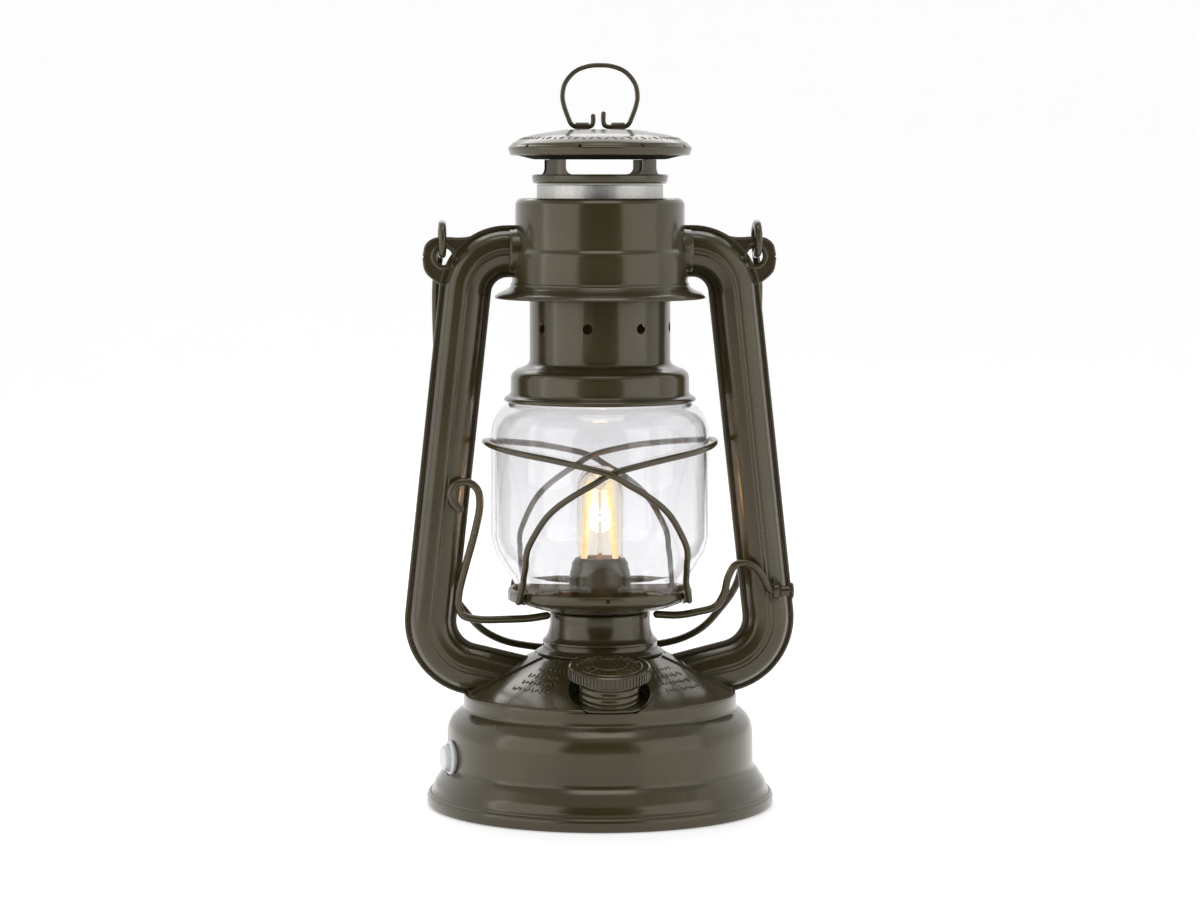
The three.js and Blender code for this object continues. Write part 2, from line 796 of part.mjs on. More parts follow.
const chimneyHoles = Array.from({ length: CHIMNEY.holes }, (_, i) => {
  const angle = (-60 + (i * 360) / CHIMNEY.holes) * DEG;
  const drill = cylinder(CHIMNEY.holeRadius, 22, 30, 6).rotateX(90 * DEG);
  return drill.rotateZ(angle).translate(0, 0, CHIMNEY.holeHeight);
});
addPart(
  "chimney_tube",
  cut(
    pressed([
      [SKIRT.beadRadius - 0.6, SKIRT.beadHeight - 0.8],
      [SKIRT.beadRadius, SKIRT.beadHeight],
      [SKIRT.radius + 0.8, SKIRT.beadHeight + 1.4],
      [SKIRT.radius, 156],
      [SKIRT.radius, SKIRT.top],
      [31.6, 164.8],
      [27.8, 166.6],
      [CHIMNEY.radius, 167.8],
      [CHIMNEY.radius, CHIMNEY.top - 1],
      [24.3, CHIMNEY.top],
    ]),
    ...chimneyHoles,
  ),
  olivePaint,
);
addPart(
  "inner_flue",
  turned([[23.1, FLUE.foot], [FLUE.radius, FLUE.foot], [FLUE.radius, FLUE.top], [23.1, FLUE.top]]),
  galvanised,
);

// A wedge about Z, centred on an angle from the front and as wide as told, for cutting a window.
function wedge(centre, width, low, high) {
  const reach = 40;
  const corners = [-0.5, 0, 0.5].map((share) => {
    const angle = (centre + share * width - 90) * DEG;
    return new THREE.Vector2(reach * Math.cos(angle), reach * Math.sin(angle));
  });
  const shape = new THREE.Shape([new THREE.Vector2(0, 0), ...corners]);
  const geometry = new THREE.ExtrudeGeometry(shape, { depth: high - low, bevelEnabled: false });
  return closed(geometry.translate(0, 0, low));
}
const broadWindow = 2 * CROWN.legCentre - CROWN.legAngle;
const sideWindow = 180 - 2 * CROWN.legCentre - CROWN.legAngle;
const windows = [[0, broadWindow], [90, sideWindow], [180, broadWindow], [270, sideWindow]];
addPart(
  "crown",
  cut(
    turned([
      [CROWN.flangeRadius - 0.7, CROWN.foot],
      [CROWN.flangeRadius, CROWN.sill - 0.5],
      [CROWN.radius, CROWN.sill - 0.1],
      [CROWN.radius, CROWN.top],
      [CROWN.radius - 0.7, CROWN.top],
      [CROWN.radius - 0.7, CROWN.foot],
    ]),
    ...windows.map(([centre, width]) => wedge(centre, width, CROWN.sill, CROWN.top + 1)),
  ),
  olivePaint,
);
addPart(
  "cap_underplate",
  turned([
    [22.4, CAP.underside],
    [25, CAP.underside],
    [32.5, CAP.rimLow + 0.2],
    [32.5, CAP.rimLow + 0.8],
    [25, CAP.underside + SHEET],
    [22.4, CAP.underside + SHEET],
  ]),
  olivePaint,
);
addPart(
  "hood_cap",
  pressed([
    [CAP.radius - 0.9, CAP.rimLow],
    [CAP.radius, CAP.crease],
    [33.9, 248.4],
    [30.9, 250.5],
    [26, 252.4],
    [14, CAP.top - 0.1],
    [12.8, CAP.top],
    [11.6, CAP.dish],
    [0, CAP.dish],
  ]),
  olivePaint,
);

const clipShape = strapShape(CAP.dish + GAP, RING.pivot, 1.25, 3.8);
const ringClip = standingAcrossX(clipShape, 4.9).translate(4.3, 0, 0);
addPart("ring_clip_right", ringClip, olivePaint);
addPart("ring_clip_left", mirroredX(ringClip), olivePaint);

const ringSide = [
  [5.2, RING.pivot],
  [9.2, RING.pivot],
  [10.8, 256.5],
  [12.1, 259.2],
  [13.6, 263.5],
  [RING.halfWidth, RING.widest],
  [13.1, 271.6],
  [9.4, 276],
  [4.6, 278],
];
const leftSide = ringSide.map(([x, z]) => [-x, 0, z]);
const rightSide = ringSide.map(([x, z]) => [x, 0, z]).reverse();
addPart(
  "hood_ring",
  wire(
    [
      [-2.6, 0, 259.5],
      [-2.6, 0, 257.2],
      [-3.1, 0, 256],
      [-4.1, 0, RING.pivot],
      ...leftSide,
      [0, 0, RING.top],
      ...rightSide,
      [2.9, 0, RING.pivot],
      [1.7, 0, 256.1],
      [1.3, 0, 257.4],
      [1.3, 0, 260.4],
    ],
    RING.wire,
    44,
  ),
  olivePaint,
);

// ---- Bail: one wire, hooked through both ears and hanging behind the lantern

function bailHalf(side) {
  const hook = [-72, -90, -120, -150, -180, -210, -240, -270, -300, -330, -360].map((angle) => {
    const [y, z] = [Math.cos(angle * DEG), Math.sin(angle * DEG)].map((v) => v * BAIL.hookRadius);
    return [side * BAIL.hookX, y, BAIL.hookZ + z];
  });
  const arm = [
    [60.1, 206],
    [61.2, 198],
    [61.4, 188],
    [59.9, 150],
    [58.6, 115],
    [57.2, 85],
    [54.8, 77.2],
    [49.1, 68.9],
    [43, 62.2],
    [34.8, 57.7],
    [23.1, 55.2],
    [11, 54.4],
  ].map(([x, z]) => [side * x, BAIL.hookRadius + (BAIL.hookZ - z) * Math.tan(BAIL.lean), z]);
  return [...hook, ...arm];
}
const bowBottom = 54.2;
const bowRear = BAIL.hookRadius + (BAIL.hookZ - bowBottom) * Math.tan(BAIL.lean);
addPart(
  "bail_wire",
  wire([...bailHalf(-1), [0, bowRear, bowBottom], ...bailHalf(1).reverse()], BAIL.wire, 84),
  olivePaint,
);

export default lantern;
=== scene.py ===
"""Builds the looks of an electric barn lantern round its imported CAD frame.

Every piece is modelled in millimetres in the lantern's own frame, X to the right, Y to the rear
and Z up, and becomes metres when it is finished.
"""

import logging
import math
from collections.abc import Callable, Sequence
from dataclasses import dataclass
from enum import Enum

import bmesh
import bpy
from mathutils import Matrix, Vector


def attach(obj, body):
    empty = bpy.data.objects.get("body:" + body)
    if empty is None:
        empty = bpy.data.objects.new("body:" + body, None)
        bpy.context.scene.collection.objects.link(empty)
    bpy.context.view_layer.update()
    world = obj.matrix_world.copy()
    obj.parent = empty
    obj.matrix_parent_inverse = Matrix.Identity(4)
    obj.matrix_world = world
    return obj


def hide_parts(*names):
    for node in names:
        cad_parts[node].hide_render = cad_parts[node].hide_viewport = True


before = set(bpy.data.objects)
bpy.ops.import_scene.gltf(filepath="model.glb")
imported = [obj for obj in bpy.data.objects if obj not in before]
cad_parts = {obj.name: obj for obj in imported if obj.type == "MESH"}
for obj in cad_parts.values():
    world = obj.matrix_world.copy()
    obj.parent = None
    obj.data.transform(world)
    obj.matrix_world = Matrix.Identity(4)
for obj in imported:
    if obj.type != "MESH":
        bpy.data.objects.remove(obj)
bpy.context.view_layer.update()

LOG = logging.getLogger("lantern")
MM = 0.001
ROUND_STEPS = 96
SHEET = 0.6
Z_AXIS = Vector((0, 0, 1))

Colour = tuple[float, float, float]
Outline = Sequence[tuple[float, ...]]


class Body(str, Enum):
    """The moving bodies of the lantern."""

    FRAME = "frame"
    GLOBE = "globe_carrier"
    HOOD = "hood"
    RING = "hood_ring"
    LEVER = "lever"
    BAIL = "bail"
    SEAL = "cap_seal"
    CAP = "filler_cap"
    BUTTON = "switch_button"


class Slot(str, Enum):
    """The finishes that the lantern's record names."""

    ENAMEL = "olive_paint"
    GALVANISED = "galvanised"
    GLASS = "clear_glass"
    FILAMENT = "filament"
    LAMP_METAL = "lamp_metal"
    SWITCH = "switch_plastic"
    BLACK = "black_plastic"
    BOARD = "circuit_board"
    RUBBER = "seal_rubber"


# ---- Shader workshop


class Signal:
    """A shader socket that can stand in a Python sum."""

    def __init__(self, graph: "Graph", socket: bpy.types.NodeSocket) -> None:
        """Keeps the socket and the graph that its sums go into."""
        self.graph = graph
        self.socket = socket

    def math(self, operation: str, first: "Signal | float", second: "Signal | float") -> "Signal":
        """Adds a Math node.

        Args:
            operation: The Math node's operation.
            first: The first value or signal.
            second: The second value or signal.

        Returns:
            The node's result.
        """
        node = self.graph.node("ShaderNodeMath", {"operation": operation}, {0: first, 1: second})
        return Signal(self.graph, node.outputs[0])

    def __add__(self, other: "Signal | float") -> "Signal":
        """Adds another value."""
        return self.math("ADD", self, other)

    def __radd__(self, other: float) -> "Signal":
        """Adds this to a number."""
        return self.math("ADD", other, self)

    def __sub__(self, other: "Signal | float") -> "Signal":
        """Takes another value away."""
        return self.math("SUBTRACT", self, other)

    def __rsub__(self, other: float) -> "Signal":
        """Takes this away from a number."""
        return self.math("SUBTRACT", other, self)

    def __mul__(self, other: "Signal | float") -> "Signal":
        """Multiplies by another value."""
        return self.math("MULTIPLY", self, other)

    def __rmul__(self, other: float) -> "Signal":
        """Multiplies a number by this."""
        return self.math("MULTIPLY", other, self)

    def step(self, low: float, high: float) -> "Signal":
        """Rises smoothly from 0 to 1 between two values.

        Args:
            low: The value below which the result is 0.
            high: The value above which the result is 1.

        Returns:
            The eased share.
        """
        settings = {"interpolation_type": "SMOOTHSTEP"}
        node = self.graph.node("ShaderNodeMapRange", settings, {0: self, 1: low, 2: high})
        return Signal(self.graph, node.outputs[0])


class Graph:
    """A new material and its node tree."""

    def __init__(self, name: str) -> None:
        """Makes an empty material with Object coordinates at hand.

        Args:
            name: The material's name.
        """
        self.material = bpy.data.materials.new(name)
        self.material.use_nodes = True
        self.tree = self.material.node_tree
        self.tree.nodes.clear()
        self.place = self.node("ShaderNodeTexCoord", {}, {}).outputs["Object"]

    def node(self, kind: str, settings: dict, sockets: dict) -> bpy.types.Node:
        """Adds a node.

        Args:
            kind: The node's type.
            settings: Its settings, set before its sockets.
            sockets: A value, a socket or a signal for each input by name or number.

        Returns:
            The new node.
        """
        made = self.tree.nodes.new(kind)
        for name, value in settings.items():
            setattr(made, name, value)
        for name, value in sockets.items():
            socket = made.inputs[name]
            source = value.socket if isinstance(value, Signal) else value
            if isinstance(source, bpy.types.NodeSocket):
                self.tree.links.new(source, socket)
            else:
                socket.default_value = source
        return made

    def stretched(self, scale: Sequence[float]) -> bpy.types.NodeSocket:
        """Gives the Object coordinates, scaled along each axis."""
        return self.node("ShaderNodeMapping", {}, {"Vector": self.place, "Scale": scale}).outputs[0]

    def noise(self, scale: float, detail: float = 3.0, stretch: Sequence[float] = (1, 1, 1)) -> Signal:
        """Adds a noise pattern.

        Args:
            scale: Cells to a metre.
            detail: Octaves of finer noise.
            stretch: The coordinates' scale along each axis.

        Returns:
            A value about 0.5.
        """
        sockets = {"Vector": self.stretched(stretch), "Scale": scale, "Detail": detail}
        return Signal(self, self.node("ShaderNodeTexNoise", {}, sockets).outputs["Fac"])

    def blend(self, share: Signal, first: Colour, second: Colour) -> bpy.types.NodeSocket:
        """Mixes two colours by a share and gives the colour socket."""
        sockets = {0: share, 6: (*first, 1), 7: (*second, 1)}
        return self.node("ShaderNodeMix", {"data_type": "RGBA"}, sockets).outputs[2]

    def bump(self, height: Signal, depth: float, strength: float = 1.0) -> bpy.types.NodeSocket:
        """Turns a height into a normal.

        Args:
            height: The height's share of the depth.
            depth: The relief's depth in metres.
            strength: The share of the relief that shows.

        Returns:
            The normal socket.
        """
        sockets = {"Height": height, "Distance": depth, "Strength": strength}
        return self.node("ShaderNodeBump", {}, sockets).outputs[0]

    def shine(self, shader: bpy.types.Node) -> bpy.types.Material:
        """Joins a shader to the material's output and gives the material."""
        self.node("ShaderNodeOutputMaterial", {}, {"Surface": shader.outputs[0]})
        return self.material


@dataclass(frozen=True)
class Finish:
    """A surface finish that makes its material once."""

    name: str
    slot: Slot

    def material(self) -> bpy.types.Material:
        """Gives the finish's material, made at its first use."""
        return bpy.data.materials.get(self.name) or self.mixed()

    def mixed(self) -> bpy.types.Material:
        """Makes the material."""
        raise NotImplementedError


@dataclass(frozen=True)
class Enamel(Finish):
    """Stoved glossy enamel on pressed steel, a little uneven and dusty."""

    thin: Colour = (0.040, 0.032, 0.0125)
    thick: Colour = (0.030, 0.0235, 0.0085)
    roughness: float = 0.21
    coat: float = 0.35
    ior: float = 1.52

    def mixed(self) -> bpy.types.Material:
        """Makes the enamel: cloudy colour, fine orange peel and dull hand marks."""
        graph = Graph(self.name)
        cloud = graph.noise(38, 5)
        peel = graph.noise(620, 2)
        marks = graph.noise(95, 6, (1, 1, 0.35)).step(0.52, 0.78)
        colour = graph.blend(cloud.step(0.3, 0.7), self.thick, self.thin)
        sockets = {
            "Base Color": colour,
            "Roughness": self.roughness + 0.08 * marks + 0.04 * peel,
            "IOR": self.ior,
            "Specular Tint": (1.0, 0.90, 0.72, 1),
            "Coat Weight": self.coat,
            "Coat Roughness": 0.12,
            "Normal": graph.bump(peel, 0.00004, 0.4),
        }
        return graph.shine(graph.node("ShaderNodeBsdfPrincipled", {}, sockets))


@dataclass(frozen=True)
class Galvanised(Finish):
    """Zinc-plated steel, drawn along its height."""

    bright: Colour = (0.60, 0.585, 0.54)
    dull: Colour = (0.36, 0.355, 0.35)

    def mixed(self) -> bpy.types.Material:
        """Makes the zinc: a fine grain, upright streaks and cloudy wear."""
        graph = Graph(self.name)
        grain = graph.noise(1100, 3)
        streaks = graph.noise(420, 4, (1, 1, 0.06))
        wear = graph.noise(60, 5)
        shade = grain * 0.45 + streaks * 0.35 + wear * 0.2
        sockets = {
            "Base Color": graph.blend(shade.step(0.2, 0.8), self.dull, self.bright),
            "Metallic": 0.8,
            "Roughness": 0.26 + 0.24 * grain,
            "Normal": graph.bump(grain * 0.5 + streaks * 0.5, 0.00005, 0.4),
        }
        return graph.shine(graph.node("ShaderNodeBsdfPrincipled", {}, sockets))


@dataclass(frozen=True)
class Glass(Finish):
    """Clear blown glass that lets lamplight through."""

    tint: Colour = (0.855, 0.852, 0.865)
    ripple: float = 0.25

    def mixed(self) -> bpy.types.Material:
        """Makes the glass, with the faint waves of a blown wall."""
        graph = Graph(self.name)
        waves = graph.noise(28, 1, (1, 1, 0.4))
        sockets = {
            "Base Color": (*self.tint, 1),
            "Roughness": 0.0,
            "IOR": 1.47,
            "Transmission Weight": 1.0,
            "Normal": graph.bump(waves, 0.0006, self.ripple),
        }
        pane = graph.node("ShaderNodeBsdfPrincipled", {}, sockets)
        clear = graph.node("ShaderNodeBsdfTransparent", {}, {"Color": (*self.tint, 1)})
        lamp_ray = graph.node("ShaderNodeLightPath", {}, {}).outputs["Is Shadow Ray"]
        sockets = {0: lamp_ray, 1: pane.outputs[0], 2: clear.outputs[0]}
        return graph.shine(graph.node("ShaderNodeMixShader", {}, sockets))


@dataclass(frozen=True)
class Glow(Finish):
    """A light-giving filament, its glow beaded along its length."""

    core: Colour = (1.0, 0.82, 0.50)
    edge: Colour = (1.0, 0.70, 0.34)
    strength: float = 1.1

    def mixed(self) -> bpy.types.Material:
        """Makes the glow: beads of phosphor a little brighter than the strip between them."""
        graph = Graph(self.name)
        beads = graph.noise(700, 1, (0.2, 0.2, 1))
        colour = graph.blend(beads.step(0.35, 0.65), self.edge, self.core)
        sockets = {
            "Base Color": (0.10, 0.07, 0.02, 1),
            "Roughness": 0.5,
            "Emission Color": colour,
            "Emission Strength": self.strength,
        }
        return graph.shine(graph.node("ShaderNodeBsdfPrincipled", {}, sockets))


@dataclass(frozen=True)
class Moulded(Finish):
    """A moulded plastic, rubber or coated board with a fine grain."""

    colour: Colour = (0.5, 0.5, 0.5)
    fleck: Colour = (0.45, 0.45, 0.45)
    roughness: float = 0.4
    grain: float = 1500.0
    metallic: float = 0.0

    def mixed(self) -> bpy.types.Material:
        """Makes the plastic: a cloudy colour and a grain that dulls the shine."""
        graph = Graph(self.name)
        cloud = graph.noise(120, 4)
        grain = graph.noise(self.grain, 2)
        sockets = {
            "Base Color": graph.blend(cloud.step(0.35, 0.65), self.colour, self.fleck),
            "Metallic": self.metallic,
            "Roughness": self.roughness + 0.12 * grain,
            "Normal": graph.bump(grain, 0.00005, 0.4),
        }
        return graph.shine(graph.node("ShaderNodeBsdfPrincipled", {}, sockets))


ENAMEL = Enamel("olive_enamel", Slot.ENAMEL)
ZINC = Galvanised("zinc_spangle", Slot.GALVANISED)
# Painted shade: a near-black, rough, coatless copy of the olive enamel with a low IOR for the plate under the
# cap, so that the gap under the cap's rim reads dark.
PAINTED_SHADE_UNDERSIDE = Enamel(
    "olive_enamel_painted_shade", Slot.ENAMEL, (0.010, 0.009, 0.006), (0.006, 0.005, 0.003), 0.8, 0.0, 1.15
)
CELL_STEEL = Galvanised("cell_steel", Slot.GALVANISED, (0.55, 0.56, 0.57), (0.42, 0.43, 0.44))
GLOBE_GLASS = Glass("globe_glass", Slot.GLASS)
BULB_GLASS = Glass("bulb_glass", Slot.GLASS, (1.0, 0.965, 0.89), 0.1)
GLOW = Glow("filament_glow", Slot.FILAMENT)
LAMP_METAL = Moulded(
    "lamp_base_metal", Slot.LAMP_METAL, (0.5, 0.47, 0.42), (0.4, 0.37, 0.32), 0.32, 900, 0.85
)
SWITCH_GREY = Moulded("switch_grey", Slot.SWITCH, (0.70, 0.71, 0.72), (0.64, 0.65, 0.66), 0.28)
BLACK = Moulded("black_moulding", Slot.BLACK, (0.02, 0.02, 0.022), (0.03, 0.03, 0.032), 0.5)
BOARD = Moulded("solder_mask", Slot.BOARD, (0.02, 0.12, 0.05), (0.03, 0.16, 0.07), 0.35, 800)
RUBBER = Moulded("seal_rubber_black", Slot.RUBBER, (0.02, 0.02, 0.02), (0.035, 0.035, 0.035), 0.75)


# ---- Mesh workshop


def draw(outline: Outline, closed: bool = False, segments: int = 4) -> bmesh.types.BMesh:
    """Draws a line in the X-Z plane, with its corners rounded.

    Args:
        outline: Points as (x, z), or (x, z, ease) where a corner is rounded that far from it.
        closed: Whether the last point joins the first.
        segments: Segments to a rounded corner.

    Returns:
        A new mesh of vertices and edges.
    """
    work = bmesh.new()
    corners = [work.verts.new((point[0], 0, point[1])) for point in outline]
    following = corners[1:] + corners[:1] if closed else corners[1:]
    for pair in zip(corners, following):
        work.edges.new(pair)
    for ease in sorted({point[2] for point in outline if len(point) > 2}):
        group = [c for c, point in zip(corners, outline) if len(point) > 2 and point[2] == ease]
        bmesh.ops.bevel(
            work,
            geom=group,
            offset=ease,
            offset_type="OFFSET",
            segments=segments,
            profile=0.5,
            affect="VERTICES",
            material=-1,
        )
    return work


def face_out(work: bmesh.types.BMesh, outward: Callable[[Vector], Vector]) -> None:
    """Turns an open sheet's faces to one side.

    Args:
        work: The mesh.
        outward: Gives the way out at a point.
    """
    bmesh.ops.remove_doubles(work, verts=work.verts[:], dist=0.0005)
    bmesh.ops.recalc_face_normals(work, faces=work.faces[:])
    lean = sum(f.normal.dot(outward(f.calc_center_median())) * f.calc_area() for f in work.faces)
    if lean < 0:
        bmesh.ops.reverse_faces(work, faces=work.faces[:])


def close_out(work: bmesh.types.BMesh) -> bmesh.types.BMesh:
    """Turns a closed shell's faces outwards and gives it back."""
    bmesh.ops.remove_doubles(work, verts=work.verts[:], dist=0.0005)
    bmesh.ops.recalc_face_normals(work, faces=work.faces[:])
    if work.calc_volume(signed=True) < 0:
        bmesh.ops.reverse_faces(work, faces=work.faces[:])
    return work


def thicken(work: bmesh.types.BMesh, wall: float) -> bmesh.types.BMesh:
    """Gives a sheet its thickness behind its faces and gives it back."""
    bmesh.ops.solidify(work, geom=work.faces[:], thickness=wall)
    return work


def spun(work: bmesh.types.BMesh, steps: int) -> bmesh.types.BMesh:
    """Spins a drawn line once round Z and gives the mesh back."""
    bmesh.ops.spin(
        work,
        geom=work.verts[:] + work.edges[:],
        cent=(0, 0, 0),
        axis=Z_AXIS,
        angle=2 * math.pi,
        steps=steps,
        use_merge=True,
    )
    return work


def pressed(outline: Outline, wall: float = SHEET, steps: int = ROUND_STEPS) -> bmesh.types.BMesh:
    """Makes a round pressed sheet from its outer face's outline.

    Args:
        outline: The outer face, as radius and height.
        wall: The sheet's thickness, inwards.
        steps: Steps round the piece.

    Returns:
        The new mesh.
    """
    work = spun(draw(outline), steps)
    rises = outline[-1][1] >= outline[0][1]
    face_out(work, lambda at: Vector((at.x, at.y, 0)) + Z_AXIS * (0.02 if rises else -0.02))
    return thicken(work, wall)


def turned(outline: Outline, steps: int = ROUND_STEPS) -> bmesh.types.BMesh:
    """Makes a solid of revolution from its closed outline, as radius and height."""
    return close_out(spun(draw(outline, closed=True), steps))


def plugged(outline: Outline, steps: int = 48) -> bmesh.types.BMesh:
    """Makes a solid of revolution from an outline that starts and ends on the axis."""
    return close_out(spun(draw(outline), steps))


def smooth_line(points: Sequence[Sequence[float]], steps: int = 6, tension: float = 0.5) -> list[Vector]:
    """Gives points along a smooth curve through some points.

    Args:
        points: The points that the curve passes.
        steps: Steps from one point to the next.
        tension: 0.5 keeps loops out of uneven spans, 0 is the plain curve.

    Returns:
        The curve's points, ends included.
    """
    known = [Vector(point) for point in points]
    known = [2 * known[0] - known[1], *known, 2 * known[-1] - known[-2]]
    line = []
    for a, b, c, d in zip(known, known[1:], known[2:], known[3:]):
        t1 = (b - a).length ** tension
        t2 = t1 + (c - b).length ** tension
        t3 = t2 + (d - c).length ** tension
        for i in range(steps):
            t = t1 + (t2 - t1) * i / steps
            ab = a.lerp(b, t / t1)
            bc = b.lerp(c, (t - t1) / (t2 - t1))
            cd = c.lerp(d, (t - t2) / (t3 - t2))
            line.append(ab.lerp(bc, t / t2).lerp(bc.lerp(cd, (t - t1) / (t3 - t1)), (t - t1) / (t2 - t1)))
    return [*line, known[-2]]


def framed(line: Sequence[Vector]) -> list[Matrix]:
    """Stands an untwisted frame square to a line at each of its points."""
    spans = [(after - before).normalized() for before, after in zip(line, line[1:])]
    headings = [spans[0], *[(a + b).normalized() for a, b in zip(spans, spans[1:])], spans[-1]]
    turn = Z_AXIS.rotation_difference(headings[0])
    frames = [Matrix.Translation(line[0]) @ turn.to_matrix().to_4x4()]
    for before, after, place in zip(headings, headings[1:], line[1:]):
        turn = before.rotation_difference(after) @ turn
        frames.append(Matrix.Translation(place) @ turn.to_matrix().to_4x4())
    return frames


def swept(work: bmesh.types.BMesh, frames: Sequence[Matrix], capped: bool = True) -> bmesh.types.BMesh:
    """Draws a section's edges along some frames.

    Args:
        work: The section, at the origin in the X-Y plane.
        frames: Where the section stands, from first to last.
        capped: Whether the ends are closed.

    Returns:
        The section's mesh, now the swept skin.
    """
    bmesh.ops.transform(work, matrix=frames[0], verts=work.verts[:])
    rim = work.edges[:]
    first = list(rim)
    for before, after in zip(frames, frames[1:]):
        grown = bmesh.ops.extrude_edge_only(work, edges=rim)["geom"]
        moved = {item for item in grown if isinstance(item, bmesh.types.BMVert)}
        rim = [e for e in grown if isinstance(e, bmesh.types.BMEdge) and moved.issuperset(e.verts)]
        bmesh.ops.transform(work, matrix=after @ before.inverted(), verts=list(moved))
    if capped:
        bmesh.ops.contextual_create(work, geom=first)
        bmesh.ops.contextual_create(work, geom=rim)
    return work


def tipped(frames: Sequence[Matrix], radius: float) -> list[Matrix]:
    """Adds the narrowing frames that round off both ends of a wire."""
    start, end = frames[0], frames[-1]
    near = [(0.95, 0.35), (0.62, 0.75), (0.25, 0.95)]
    lead = [start @ Matrix.Translation((0, 0, -radius * b)) @ Matrix.Scale(s, 4) for s, b in reversed(near)]
    tail = [end @ Matrix.Translation((0, 0, radius * b)) @ Matrix.Scale(s, 4) for s, b in near]
    return [*lead, *frames, *tail]


def ring_section(radius: float, sides: int, width: float = 1.0) -> bmesh.types.BMesh:
    """Draws a circle, or an ellipse that much wider along Y, as a section."""
    work = bmesh.new()
    bmesh.ops.create_circle(work, segments=sides, radius=radius)
    bmesh.ops.scale(work, vec=(1, width, 1), verts=work.verts[:])
    return work


def wired(line: Sequence[Vector], diameter: float, sides: int = 14) -> bmesh.types.BMesh:
    """Makes a round wire with rounded ends along a line."""
    frames = tipped(framed(line), diameter / 2)
    return close_out(swept(ring_section(diameter / 2, sides), frames))


def strap(shape: Outline, depth: float, wall: float, at: Matrix) -> bmesh.types.BMesh:
    """Makes a bent strap.

    Args:
        shape: The strap's outer face, as (across, up, ease).
        depth: How wide the strap is.
        wall: Its thickness.
        at: Where it stands: its width runs along its frame's Y.

    Returns:
        The new mesh.
    """
    work = draw(shape, segments=6)
    grown = bmesh.ops.extrude_edge_only(work, edges=work.edges[:])["geom"]
    moved = [item for item in grown if isinstance(item, bmesh.types.BMVert)]
    bmesh.ops.translate(work, vec=(0, depth, 0), verts=moved)
    face_out(work, lambda _: Z_AXIS)
    thicken(work, wall)
    bmesh.ops.transform(work, matrix=at, verts=work.verts[:])
    return close_out(work)


def moved(work: bmesh.types.BMesh, at: Matrix) -> bmesh.types.BMesh:
    """Puts a mesh where a matrix says and gives it back."""
    bmesh.ops.transform(work, matrix=at, verts=work.verts[:])
    return work


def trimmed(work: bmesh.types.BMesh, *planes: tuple[Sequence[float], Sequence[float]]) -> None:
    """Cuts away what lies past some planes.

    Args:
        work: The mesh.
        planes: A point on each plane, and the way that is cut away.
    """
    for point, normal in planes:
        geometry = work.verts[:] + work.edges[:] + work.faces[:]
        bmesh.ops.bisect_plane(work, geom=geometry, plane_co=point, plane_no=normal, clear_outer=True)


def mirrored(work: bmesh.types.BMesh) -> bmesh.types.BMesh:
    """Gives a closed mesh's mirror image in the Y-Z plane, as a new mesh."""
    other = work.copy()
    bmesh.ops.scale(other, vec=(-1, 1, 1), verts=other.verts[:])
    return close_out(other)


def mirrored_sheet(work: bmesh.types.BMesh) -> bmesh.types.BMesh:
    """Gives the mirror image of a finished mesh in the Y-Z plane, its faces turned back outwards."""
    other = work.copy()
    bmesh.ops.scale(other, vec=(-1, 1, 1), verts=other.verts[:])
    bmesh.ops.reverse_faces(other, faces=other.faces[:])
    return other


def joined(*parts: bmesh.types.BMesh) -> bmesh.types.BMesh:
    """Puts several meshes into one and frees them."""
    whole = bmesh.new()
    for part in parts:
        loose = bpy.data.meshes.new("loose")
        part.to_mesh(loose)
        part.free()
        whole.from_mesh(loose)
        bpy.data.meshes.remove(loose)
    return whole


def block(size: Sequence[float], ease: float, at: Matrix, segments: int = 2) -> bmesh.types.BMesh:
    """Makes a block with eased edges.

    Args:
        size: Its size along each axis.
        ease: How far its edges are bevelled.
        at: Where its middle stands.
        segments: Segments to an eased edge.

    Returns:
        The new mesh.
    """
    work = bmesh.new()
    bmesh.ops.create_cube(work, size=1, matrix=Matrix.Diagonal((*size, 1)))
    bmesh.ops.bevel(
        work, geom=work.edges[:], offset=ease, segments=segments, profile=0.5, affect="EDGES", material=-1
    )
    return moved(work, at)


def drilled(work: bmesh.types.BMesh, *tools: bmesh.types.BMesh) -> bmesh.types.BMesh:
    """Cuts tools out of a mesh.

    Args:
        work: The mesh to cut, which is freed.
        tools: The closed meshes to take away, which are freed.

    Returns:
        The new mesh.
    """
    holders = []
    for part in (work, joined(*tools)):
        loose = bpy.data.meshes.new("loose")
        part.to_mesh(loose)
        part.free()
        holder = bpy.data.objects.new("loose", loose)
        bpy.context.scene.collection.objects.link(holder)
        holders.append(holder)
    modifier = holders[0].modifiers.new("drill", "BOOLEAN")
    modifier.operation = "DIFFERENCE"
    modifier.solver = "EXACT"
    modifier.object = holders[1]
    result = bmesh.new()
    result.from_object(holders[0], bpy.context.evaluated_depsgraph_get())
    for holder in holders:
        loose = holder.data
        bpy.data.objects.remove(holder)
        bpy.data.meshes.remove(loose)
    return result


def drill(radius: float, low: float, high: float, at: Matrix, steps: int = 24) -> bmesh.types.BMesh:
    """Makes a cutting cylinder along its own Z between two heights."""
    return moved(plugged([(0, low), (radius, low), (radius, high), (0, high)], steps), at)


def round_z(angle: float) -> Matrix:
    """Turns about Z by an angle in degrees."""
    return Matrix.Rotation(math.radians(angle), 4, "Z")


